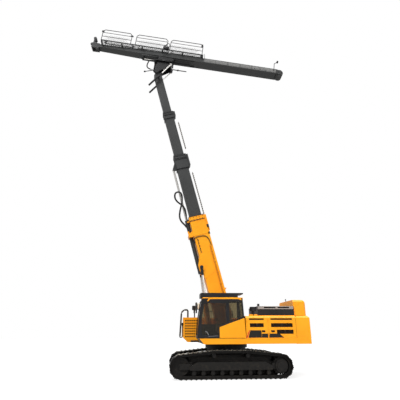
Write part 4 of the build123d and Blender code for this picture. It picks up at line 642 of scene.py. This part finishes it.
# Crossed wires close the lower part of every guard-rail panel.
meshSettings = {"panels": [(-2.18, -0.20), (0.04, 1.955), (2.29, 4.065)], "low": 0.45, "high": 0.86,
                "y": 0.442, "cell": 0.115, "wire": 0.005, "shortest": 0.03}


def clipAt(edge, way, a, b):  # pulls an end that lies beyond the edge back along its wire
    for first, other in ((a, b), (b, a)):
        if (first.x - edge) * way > 0:
            share = (edge - first.x) / (other.x - first.x)
            first.z += (other.z - first.z) * share
            first.x = edge


def makeRailMesh(s):
    wires = []
    rise = s["high"] - s["low"]
    for start, end in s["panels"]:
        for i in range(-int(rise / s["cell"]), int((end - start) / s["cell"])):
            for lean in (1, -1):
                m = start + (i if lean == 1 else i + rise / s["cell"]) * s["cell"]
                a, b = Vector((m, 0, s["low"])), Vector((m + lean * rise, 0, s["high"]))
                clipAt(start, -1, a, b)
                clipAt(end, 1, a, b)
                if (b - a).length > s["shortest"] and start <= a.x <= end and start <= b.x <= end:
                    wires.append(bar(a, b, s["wire"], 4))
    left = joinPieces(wires)
    right = copyPiece(left, (0, -s["y"], 0))
    left.data.transform(Matrix.Translation((0, s["y"], 0)))
    finishPiece([left, right], "railMesh", "mast", meshSteel, 10)


makeRailMesh(meshSettings)
print("rail mesh on the mast")

# Plates behind the rollers and above the frames keep stones out of each track.
shieldSettings = {
    "y": (1.190, 1.202), "edge": 0.003,
    # half length, low and high z, then x, z and outward direction of the cut at each end
    "plates": [(2.12, 0.075, 0.40, (2.02, 0.075), (0.6, -0.8)),
               (1.98, 0.69, 0.985, (1.63, 0.985), (0.28, 0.96))],
    "hub": (2.21, 0.62, 0.40),  # x, z and radius of each disc
    "foot": (1.92, 2.36, 0.21, 0.50),  # near and far x, low and high z of each block
}


def makeShields(s):
    y0, y1 = s["y"]
    parts = []
    for half, low, high, (x, z), (out, up) in s["plates"]:
        plate = block((-half, y0, low), (half, y1, high))
        for end in (-1, 1):
            cutAway(plate, (end * x, 0, z), (end * out, 0, up))
        parts.append(roundEdges(plate, s["edge"]))
    x, z, radius = s["hub"]
    near, far, low, high = s["foot"]
    for end in (-1, 1):
        parts.append(bar((end * x, y0, z), (end * x, y1, z), radius, 40, 0.004))
        parts.append(block((end * near, y0, low), (end * far, y1, high), s["edge"]))
    left = joinPieces(parts)
    finishPiece([left, mirrorPiece(left)], "stoneShields", "base", trackSteel)


makeShields(shieldSettings)
print("stone shields behind the rollers")

# Operator's seat: crowned cushions with a sewn seam round each, on a pedestal between two moulded consoles.
seatSettings = {
    "place": (-0.01, 1.0325, 1.74), "crown": 0.38, "flat": 0.62, "seam": 0.10, "seamAt": 0.72,
    "seamWidth": 0.05, "pinch": 0.05, "cuts": 7,
    # name, two corners and lean in degrees, from the seat's place
    "cushions": [("seatCushion", (0.02, -0.23, 0.26), (0.49, 0.23, 0.41), 0),
                 ("seatBack", (0.00, -0.22, 0.38), (0.12, 0.22, 0.90), 6),
                 ("headrest", (-0.055, -0.14, 0.93), (0.045, 0.14, 1.11), 6)],
    "pedestal": [(block, (0.10, -0.16, 0), (0.40, 0.16, 0.05), 0.008),
                 (block, (0.15, -0.11, 0.05), (0.35, 0.11, 0.20), 0.02),
                 (block, (0.03, -0.21, 0.20), (0.46, 0.21, 0.265), 0.02)],
    "consoles": [(block, (0.16, 0.25, 0.15), (0.62, 0.33, 0.56), 0.03),
                 (bar, (0.57, 0.29, 0.55), (0.60, 0.29, 0.68), 0.012, 12),
                 (bar, (0.595, 0.29, 0.66), (0.61, 0.29, 0.76), 0.026, 16, 0.010)],
}


def makeCushion(s, name, low, high, lean):
    low, high = (Vector(s["place"]) + Vector(corner) for corner in (low, high))
    cushion = inEditMode(block(low, high), lambda: bpy.ops.mesh.subdivide(number_cuts=s["cuts"]))
    centre, half = (low + high) / 2, (high - low) / 2
    thin = min(range(3), key=lambda i: half[i])
    for vertex in cushion.data.vertices:
        share = [(vertex.co[i] - centre[i]) / half[i] for i in range(3)]
        wide = [abs(share[i]) for i in range(3) if i != thin]
        swell = s["crown"] * (1 - wide[0] ** 4) * (1 - wide[1] ** 4)
        seam = s["seam"] * math.exp(-((max(wide) - s["seamAt"]) / s["seamWidth"]) ** 2)  # the sewn groove
        vertex.co[thin] = centre[thin] + half[thin] * share[thin] * (s["flat"] + swell - seam)
        pinch = 1 - s["pinch"] * (1 - abs(share[thin])) ** 2
        for i in range(3):
            if i != thin:
                vertex.co[i] = centre[i] + (vertex.co[i] - centre[i]) * pinch
    smooth = cushion.modifiers.new("soft", "SUBSURF")
    smooth.levels = smooth.render_levels = 1
    bpy.ops.object.modifier_apply(modifier="soft")
    foot = Vector((low[0], 0, low[2]))
    turn = Matrix.Rotation(math.radians(-lean), 4, "Y")
    cushion.data.transform(Matrix.Translation(foot) @ turn @ Matrix.Translation(-foot))
    finishPiece(cushion, name, "house", seatCloth, 60)
    return cushion


def makeSeat(s):
    soft = [makeCushion(s, *row) for row in s["cushions"]]
    parts = makeParts(s["pedestal"], s["place"]) + makeParts(s["consoles"], s["place"], (-1, 1))
    consoles = finishPiece(parts, "seatFrame", "house", seatPlastic)
    for piece in (*soft, consoles):
        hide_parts("cab_seat")


makeSeat(seatSettings)
print("seat in the cab")

# Mirrors: a moulded shell round each mirror body, and a bright glass in its rear face.
mirrorSettings = {
    "places": {"Left": (1.53, 1.49, 3.03), "Right": (1.442, -1.31, 3.05)},
    "shell": [(block, (-0.020, -0.122, -0.182), (0.050, 0.122, 0.182), 0.022)],
    "pane": [(block, (-0.026, -0.100, -0.160), (-0.020, 0.100, 0.160), 0.003)],
}


def makeMirrors(s):
    panes = []
    for side, place in s["places"].items():
        finishPiece(makeParts(s["shell"], place), "mirrorShell" + side, "house", seatPlastic)
        panes += makeParts(s["pane"], place)
    finishPiece(panes, "mirrorGlass", "house", chrome)


makeMirrors(mirrorSettings)

# Small fittings round the deck, each from its own foot.
grip, gripEdge = 0.042, 0.006
deckSettings = {
    "stand": {"place": (1.442, -1.31, 2.63), "parts": [
        (bar, (0, 0, 0), (0, 0, 0.47), 0.030, 16, 0.004),
        (block, (-0.07, -0.07, 0), (0.07, 0.07, 0.02), 0.004),
        (block, (-0.05, -0.06, 0.39), (0.13, 0.06, 0.62), 0.03),
        (bar, (0, 0, 0.50), (-0.12, 0, 0.59), 0.028, 12),
        (block, (-0.16, -0.10, 0.45), (-0.10, 0.10, 0.71), 0.03)],
        "glass": [(block, (-0.32, -0.09, 0.42), (-0.15, 0.09, 0.75), 0.045)]},
    "rail": {"place": (2.05, -1.452, 1.68), "parts": [
        (bar, (0.140, 0, 0.05), (0.078, 0, 1.17), grip, 16, gripEdge),
        (bar, (0.065, 0, 1.236), (-0.042, 0, 1.342), grip, 16, gripEdge),
        (bar, (-0.080, 0, 1.3595), (-0.238, 0, 1.3595), grip, 16, gripEdge),
        (bar, (-0.264, 0, 1.32), (-0.264, 0, 0.98), grip, 16, gripEdge),
        (bar, (0.005, 0, 0.62), (0.110, 0, 0.62), 0.022, 12),
        (block, (0.001, -0.03, 0.02), (0.045, 0.03, 0.70), 0.006)]},
    # points and radius of the cab door's grip and of the line below its glass
    "handle": [([(0.99, 1.505, 1.80), (1.02, 1.522, 1.88), (1.09, 1.522, 1.95), (1.13, 1.505, 1.96)], 0.014),
               ([(0.56, 1.512, 1.773), (1.00, 1.512, 1.742)], 0.010)],
    "fairing": [(-1.38, 0.985, 2.60), (-0.97, 1.020, 2.71)], "fairingSlope": (0.25, 0, 1),
    "boxStep": [(1.30, -0.62, 1.475), (1.68, -0.57, 1.545), 0.012],
    "coverSeal": [(-3.62, 0.948, 2.622), (-3.16, 0.953, 2.650)],
    "tail": {"length": 0.30, "inset": 0.01, "drop": (0.055, 0.005)},  # on the rear end of the roof guard
    # dark plates in the storage box's slots, painted shade for the slots' depth: first place, pitch and size,
    # along and up, of each
    "slotShades": {"x": (1.346, 0.1067, 0.073), "z": (1.694, 0.1254, 0.0587), "y": (-0.66, -0.635), "gap": 0.002,
                "rows": 7, "columns": 6},
    # low x, high x, low z, high z of each dark line on the left wall, painted shade along the panel seams
    "seamShades": [(-3.050, -3.038, 1.40, 2.52), (-3.04, 1.02, 1.632, 1.644)], "seamShadeDepth": (1.498, 1.504),
}


def makeDeckFittings(s):
    stand, rail, tail, shadeGrid = s["stand"], s["rail"], s["tail"], s["slotShades"]
    finishPiece(makeParts(stand["parts"], stand["place"]), "mirrorStand", "house", blackEnamel)
    finishPiece(makeParts(stand["glass"], stand["place"]), "farMirrorGlass", "house", lampGlass)
    finishPiece(makeParts(rail["parts"], rail["place"]), "railGrips", "house", seatPlastic)
    finishPiece([pipe(*row) for row in s["handle"]], "doorHandle", "cab_door", meshSteel)
    fairing = cutAway(block(*s["fairing"]), s["fairing"][1], s["fairingSlope"])
    finishPiece(roundEdges(fairing, 0.01), "hoodFairing", "house", amber)
    for name in ("boxStep", "coverSeal"):
        finishPiece(block(*s[name]), name, "house", blackEnamel)
    low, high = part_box("cab_guard")
    x, y0, y1 = low[0] - slewX, low[1] + tail["inset"], high[1] - tail["inset"]
    z0, z1 = (high[2] - drop for drop in tail["drop"])
    plate = block((x, y0, z0), (x + tail["length"], y1, z1), 0.01)
    finishPiece(plate, "guardTail", "house", blackEnamel)
    # Dark plates in the box's slots: painted shade for the slots' depth.
    (x, across, width), (z, rise, height), (y0, y1) = shadeGrid["x"], shadeGrid["z"], shadeGrid["y"]
    shadePlates = []
    for i in range(shadeGrid["rows"]):
        for j in range(shadeGrid["columns"]):
            a, c = x + across * j + shadeGrid["gap"], z + rise * i + shadeGrid["gap"]
            shadePlates.append(block((a, y0, c), (a + width, y1, c + height)))
    finishPiece(shadePlates, "slotShadePlates", "house", blackEnamel)
    # Dark amber lines on the left wall: painted shade along the panel seams.
    y0, y1 = s["seamShadeDepth"]
    lines = [block((a, y0, c), (b, y1, d)) for a, b, c, d in s["seamShades"]]
    finishPiece(lines, "seamShadeLines", "house", seamShadeBrown)


makeDeckFittings(deckSettings)

# A work lamp on the storage box: a round moulded body with a sunk front, a lens, and a small foot.
lampSettings = {"spot": (2.13, -0.70, 2.30), "radius": 0.075, "depth": 0.085, "rim": 0.010, "sunk": 0.020,
                "foot": [(block, (-0.085, -0.015, -0.105), (-0.034, 0.015, -0.060), 0.003)],
                "lens": [(bar, (-0.019, 0, 0), (-0.006, 0, 0), 0.064, 24, 0.004)]}


def makeLamp(s):
    shell = bar(Vector(s["spot"]) - Vector((s["depth"], 0, 0)), s["spot"], s["radius"], 24)
    pickOnly(shell)
    for face in shell.data.polygons:
        face.select = face.normal.x > 0.9
    bpy.ops.object.mode_set(mode="EDIT")
    bpy.ops.mesh.select_mode(type="FACE")
    bpy.ops.mesh.inset(thickness=s["rim"])
    bpy.ops.mesh.extrude_region_move(TRANSFORM_OT_translate={"value": (-s["sunk"], 0, 0)})
    bpy.ops.object.mode_set(mode="OBJECT")
    finishPiece([shell, *makeParts(s["foot"], s["spot"])], "lampShell1", "house", blackEnamel)
    finishPiece(makeParts(s["lens"], s["spot"]), "lampLens1", "house", lampGlass)


makeLamp(lampSettings)
print("mirrors, fittings and lamp on the deck")

# Dark straps and bolt heads go round each telescope collar.
collarSettings = {
    "strap": 0.035, "proud": 0.006, "edge": 0.002,
    "bolt": (0.017, 0.014),  # radius and height
    "boltShares": (-0.8, -0.4, 0.0, 0.4, 0.8),  # of the half height
    # body, half height, half width, where the straps lie, where the bolts lie
    "collars": [("boom", 0.402, 0.332, (5.63, 5.86), (5.69, 5.81)),
                ("section_2", 0.352, 0.292, (8.735, 9.30, 9.555), (9.38, 9.50)),
                ("section_3", 0.301, 0.246, (12.035, 12.25, 12.435), (12.31, 12.41))],
}


def makeBolt(radius, height):  # a hexagon head on a round washer
    washer = bar((0, 0, 0), (0, 0, height * 0.25), radius * 1.35, 16)
    head = bar((0, 0, height * 0.25), (0, 0, height), radius, 6, radius * 0.12)
    return joinPieces([washer, head])


def boltOn(bolt, side, x, y, z):  # its head points to that side
    return copyPiece(bolt, (x, side * y, z), Matrix.Rotation(math.radians(-90 * side), 4, "X"))


def makeCollars(s):
    bolt = makeBolt(*s["bolt"])
    for number, (body, high, wide, straps, rows) in enumerate(s["collars"]):
        h, w = high + s["proud"], wide + s["proud"]
        parts = []
        for side in (-1, 1):
            for a in straps:
                b = a + s["strap"]
                parts.append(block((a, side * wide, -h), (b, side * w, h), s["edge"]))
                parts.append(block((a, -wide, side * high), (b, wide, side * h), s["edge"]))
            parts += [boltOn(bolt, side, u, wide, high * share) for u in rows for share in s["boltShares"]]
        finishPiece(parts, f"collarStraps{number + 1}", body, blackEnamel)
    removePieces(bolt)


makeCollars(collarSettings)
print("straps and bolts on the collars")

# Steel pipes along the boom's sides, one pipe round the collar's foot, and the lugs behind it. The side pipes
# take a deeper amber than the boom, painted shade standing for the boom's shaded rear edge.
boomPipeSettings = {
    "y": 0.322, "levels": (0.300, 0.345), "radius": 0.017, "start": 0.75, "end": 4.15, "clamps": 6,
    # half length, near and far y, low and high level
    "clamp": (0.03, 0.300, 0.345, 0.272, 0.368), "clip": (0.022, 0.300, 0.332, -0.250, -0.200),
    "clips": (3.94, 0.16, 5),  # first, pitch and count
    # distance from the middle plane, radius, and points along and up of each dark pipe
    "dark": [(0.32844, 0.020, [(4.42, -0.46), (4.62, -0.43), (4.745, -0.34), (4.752, -0.10), (4.735, 0.10),
                               (4.67, 0.26), (4.45, 0.36), (4.15, 0.385)]),
             (0.31234, 0.012, [(3.90, -0.22), (4.66, -0.24)])],
    # start, end, low and high level of each lug
    "lugs": [(4.76, 4.90, 0.375, 0.49), (5.13, 5.30, 0.405, 0.53)], "lugSide": (0.20, 0.30),
}


def addClamp(u, side, size, edge):
    half, near, far, low, high = size
    return block((u - half, side * near, low), (u + half, side * far, high), edge)


def makeBoomPipes(s):
    feeds, dark = [], []
    span = (s["end"] - s["start"]) / s["clamps"]
    first, pitch, count = s["clips"]
    for side in (-1, 1):
        y = s["y"] * side
        for level in s["levels"]:
            feeds.append(pipe([(s["start"], y, level), (s["end"], y, level)], s["radius"]))
        for i in range(s["clamps"]):
            feeds.append(addClamp(s["start"] + span * (i + 0.5), side, s["clamp"], 0.008))
        for y, radius, points in s["dark"]:
            dark.append(pipe([(u, side * y, w) for u, w in points], radius))
        dark += [addClamp(first + pitch * i, side, s["clip"], 0.006) for i in range(count)]
        near, far = (side * y for y in s["lugSide"])
        for a, b, low, high in s["lugs"]:
            lug = cutAway(block((a, near, low), (b, far, high)), (a, 0, high), (-1, 0, 1.2))
            dark.append(roundEdges(lug, 0.010))
    finishPiece(feeds, "boomPipes", "boom", shadedPipeEnamel)
    finishPiece(dark, "collarPipes", "boom", blackEnamel)


makeBoomPipes(boomPipeSettings)
print("pipes on the boom")

# Woven wire lies in the walkway's frame.
walkSettings = {"start": -2.26, "end": 4.06, "half": 0.425, "level": 0.4025, "cell": 0.13, "wire": 0.006}


def makeWalkMesh(s):
    across = s["half"] * 2
    count = int((s["end"] - s["start"] - across) / s["cell"])
    wires = []
    for i in range(count + 1):
        m = s["start"] + i * s["cell"]
        for y in (-s["half"], s["half"]):
            wires.append(bar((m, y, s["level"]), (m + across, -y, s["level"]), s["wire"], 4))
    finishPiece(wires, "walkMesh", "mast", meshSteel, 10)


makeWalkMesh(walkSettings)

# Small boxes stand on the rails' ends, and a valve bank with its pipes hangs beside the walkway.
boxSettings = {
    "boxes": [(block, (4.02, 0.425, 1.03), (4.16, 0.475, 1.16), 0.010),
              (block, (2.19, 0.425, 1.005), (2.36, 0.475, 1.09), 0.010),
              (block, (-2.20, 0.425, 1.00), (-2.09, 0.475, 1.23), 0.010)],
    "bank": [(block, (-0.14, 0.455, 0.40), (0.24, 0.560, 0.58), 0.012),
             (block, (-0.17, 0.430, 0.38), (0.27, 0.455, 0.46), 0.004)],
    "valves": {"first": -0.09, "pitch": 0.28 / 3, "count": 4, "y": 0.5075, "low": 0.575, "high": (0.63, 0.65),
               "radius": 0.030, "pipe": 0.013, "drop": (0.41, 0.30, 0.20), "spread": 0.05},
    # each loop's radius, distance from the middle plane, and its points along and up
    "loops": [(0.018, 0.530, [(-0.12, 0.58), (-0.16, 0.72), (-0.08, 0.86), (0.04, 0.80), (0.12, 0.66),
                              (0.21, 0.58)]),
              (0.014, 0.485, [(-0.04, 0.58), (0.00, 0.70), (0.10, 0.74), (0.16, 0.58)])],
}


def makeMastBoxes(s):
    parts = makeParts(s["boxes"], sides=(-1, 1)) + makeParts(s["bank"])
    v = s["valves"]
    top, middle, bottom = v["drop"]
    for i in range(v["count"]):
        m, y = v["first"] + v["pitch"] * i, v["y"]
        aside = v["spread"] * (i - (v["count"] - 1) / 2)
        parts.append(bar((m, y, v["low"]), (m, y, v["high"][i % 2]), v["radius"], 14, 0.005))
        parts.append(pipe([(m, y, top), (m, y, middle), (m + aside, y - v["spread"], bottom)], v["pipe"]))
    for radius, y, points in s["loops"]:
        parts.append(pipe([(m, y, n) for m, n in points], radius))
    finishPiece(parts, "mastBoxes", "mast", blackEnamel)


makeMastBoxes(boxSettings)

# Bolted plates, round ports and a top strip line the beam's rear half on both sides. The plates are a paler
# grey than the beam, a painted highlight standing for the beam's lit side face.
beamSettings = {
    "start": -6.95, "end": -2.36, "count": 6, "low": 0.035, "high": 0.285, "y": 0.320,
    "gap": 0.01, "thick": 0.006,
    "bolt": (0.014, 0.010), "boltShares": (0.08, 0.5, 0.92), "boltInset": 0.04,
    "boltSeat": 0.005, "strip": (0.287, 0.312), "stripThick": 0.008,
    "ports": (-5.58, -5.93, -6.31), "port": (0.115, 0.036, 0.010),  # level, radius and thickness
    "riser": [(-2.38, 0.30, 0.30), (-2.38, 0.30, 0.52), (-2.34, 0.30, 0.66)], "riserRadius": 0.013,
}


def makeBeamPlates(s):
    step = (s["end"] - s["start"]) / s["count"]
    bolt = makeBolt(*s["bolt"])
    plates, trims = [], []
    for side in (-1, 1):
        y, skin = side * s["y"], side * (s["y"] + s["thick"])
        for i in range(s["count"]):
            a = s["start"] + step * i
            plates.append(block((a + s["gap"], y, s["low"]), (a + step - s["gap"], skin, s["high"]), 0.002))
            for share in s["boltShares"]:
                for n in (s["low"] + s["boltInset"], s["high"] - s["boltInset"]):
                    plates.append(boltOn(bolt, side, a + step * share, s["y"] + s["boltSeat"], n))
        low, high = s["strip"]
        trims.append(block((s["start"], y, low), (s["end"], side * (s["y"] + s["stripThick"]), high), 0.002))
        level, radius, thick = s["port"]
        face = side * (s["y"] + thick)
        trims += [bar((m, y, level), (m, face, level), radius, 16, 0.003) for m in s["ports"]]
        trims.append(pipe([(m, side * out, n) for m, out, n in s["riser"]], s["riserRadius"]))
    removePieces(bolt)
    finishPiece(plates, "beamPlates", "mast", sheenPlateGrey)
    finishPiece(trims, "beamTrims", "mast", blackEnamel)


makeBeamPlates(beamSettings)
print("mesh, boxes, plates and valves on the mast")

# Black forged ends on the lift rods.
rodEndSettings = {"eye": (1.198, 0, 5.004), "foot": (0.80, 0, 1.75), "y": 0.42, "reach": (0.06, 0.40),
                  "radius": 0.068, "boss": 0.088, "bossReach": (-0.0714, 0.084)}


def makeRodEnds(s):
    way = (Vector(s["foot"]) - Vector(s["eye"])).normalized()
    cuffs = []
    for side in (-1, 1):
        eye = Vector(s["eye"]) + Vector((0, s["y"] * side, 0))
        start, end = (eye + way * reach for reach in s["reach"])
        cuffs.append(bar(start, end, s["radius"], 24, 0.006))
        near, far = (eye + Vector((0, side * reach, 0)) for reach in s["bossReach"])
        cuffs.append(bar(near, far, s["boss"], 32, 0.006))
    finishPiece(cuffs, "rodEnds", "lift_rods", blackEnamel)


makeRodEnds(rodEndSettings)

# Floor and background show white to the eye and to gloss, and keep a soft shadow.
stageSettings = {
    "half": 90, "floorGrey": "#8C8C8C", "keep": 0.22, "worldLight": 0.50, "white": (1, 1, 1, 1),
    # name, direction that the light travels, strength, softness in degrees
    "suns": [("key", (-0.45, -0.75, -0.75), 2.0, 25), ("fill", (0.7, -0.65, -0.25), 0.8, 50),
             ("back", (0.1, 0.9, -0.6), 0.7, 40), ("sky", (0.05, -0.1, -1), 2.4, 60)],
}


def makeFloor(s):
    bpy.ops.mesh.primitive_plane_add(size=s["half"] * 2, location=(0, 0, 0))
    floor = bpy.context.object
    floor.name = "floor"
    material, tree, surface = newMaterial("paleFloor")
    setValues(surface, {"Base Color": linear(s["floorGrey"]), "Roughness": 1.0})
    seen = addNode(tree, "ShaderNodeLightPath")
    white = addNode(tree, "ShaderNodeEmission", {"Color": s["white"], "Strength": 1.0})
    chalk = addNode(tree, "ShaderNodeBsdfDiffuse", {"Color": s["white"]})
    pale = addNode(tree, "ShaderNodeMixShader", {"Fac": 1 - s["keep"]},
                   {1: (chalk, "BSDF"), 2: (white, "Emission")})
    direct = addMath(tree, "MAXIMUM", (seen, "Is Camera Ray"), (seen, "Is Glossy Ray"))
    shown = addMath(tree, "MAXIMUM", (direct, "Value"), (seen, "Is Transmission Ray"))
    linkShaders(tree, shown, (surface, "BSDF"), (pale, "Shader"), "Material Output")
    floor.data.materials.append(material)


def makeWorld(s):
    world = bpy.data.worlds.new("studio")
    bpy.context.scene.world = world
    world.use_nodes = True
    air = world.node_tree
    back = air.nodes["Background"]
    setValues(back, {"Color": s["white"], "Strength": s["worldLight"]})
    bright = addNode(air, "ShaderNodeBackground", {"Color": s["white"], "Strength": 1.0})
    sight = addNode(air, "ShaderNodeLightPath")
    shown = addMath(air, "MAXIMUM", (sight, "Is Camera Ray"), (sight, "Is Transmission Ray"))
    linkShaders(air, shown, (back, "Background"), (bright, "Background"), "World Output")


def addSun(name, toward, strength, angle):
    data = bpy.data.lights.new(name, "SUN")
    data.energy = strength
    data.angle = math.radians(angle)
    lamp = bpy.data.objects.new(name, data)
    lamp.rotation_euler = Vector(toward).to_track_quat("-Z", "Y").to_euler()
    bpy.context.scene.collection.objects.link(lamp)


makeFloor(stageSettings)
makeWorld(stageSettings)
for row in stageSettings["suns"]:
    addSun(*row)
bpy.context.scene.view_settings.view_transform = "Standard"
print("stage and light ready")
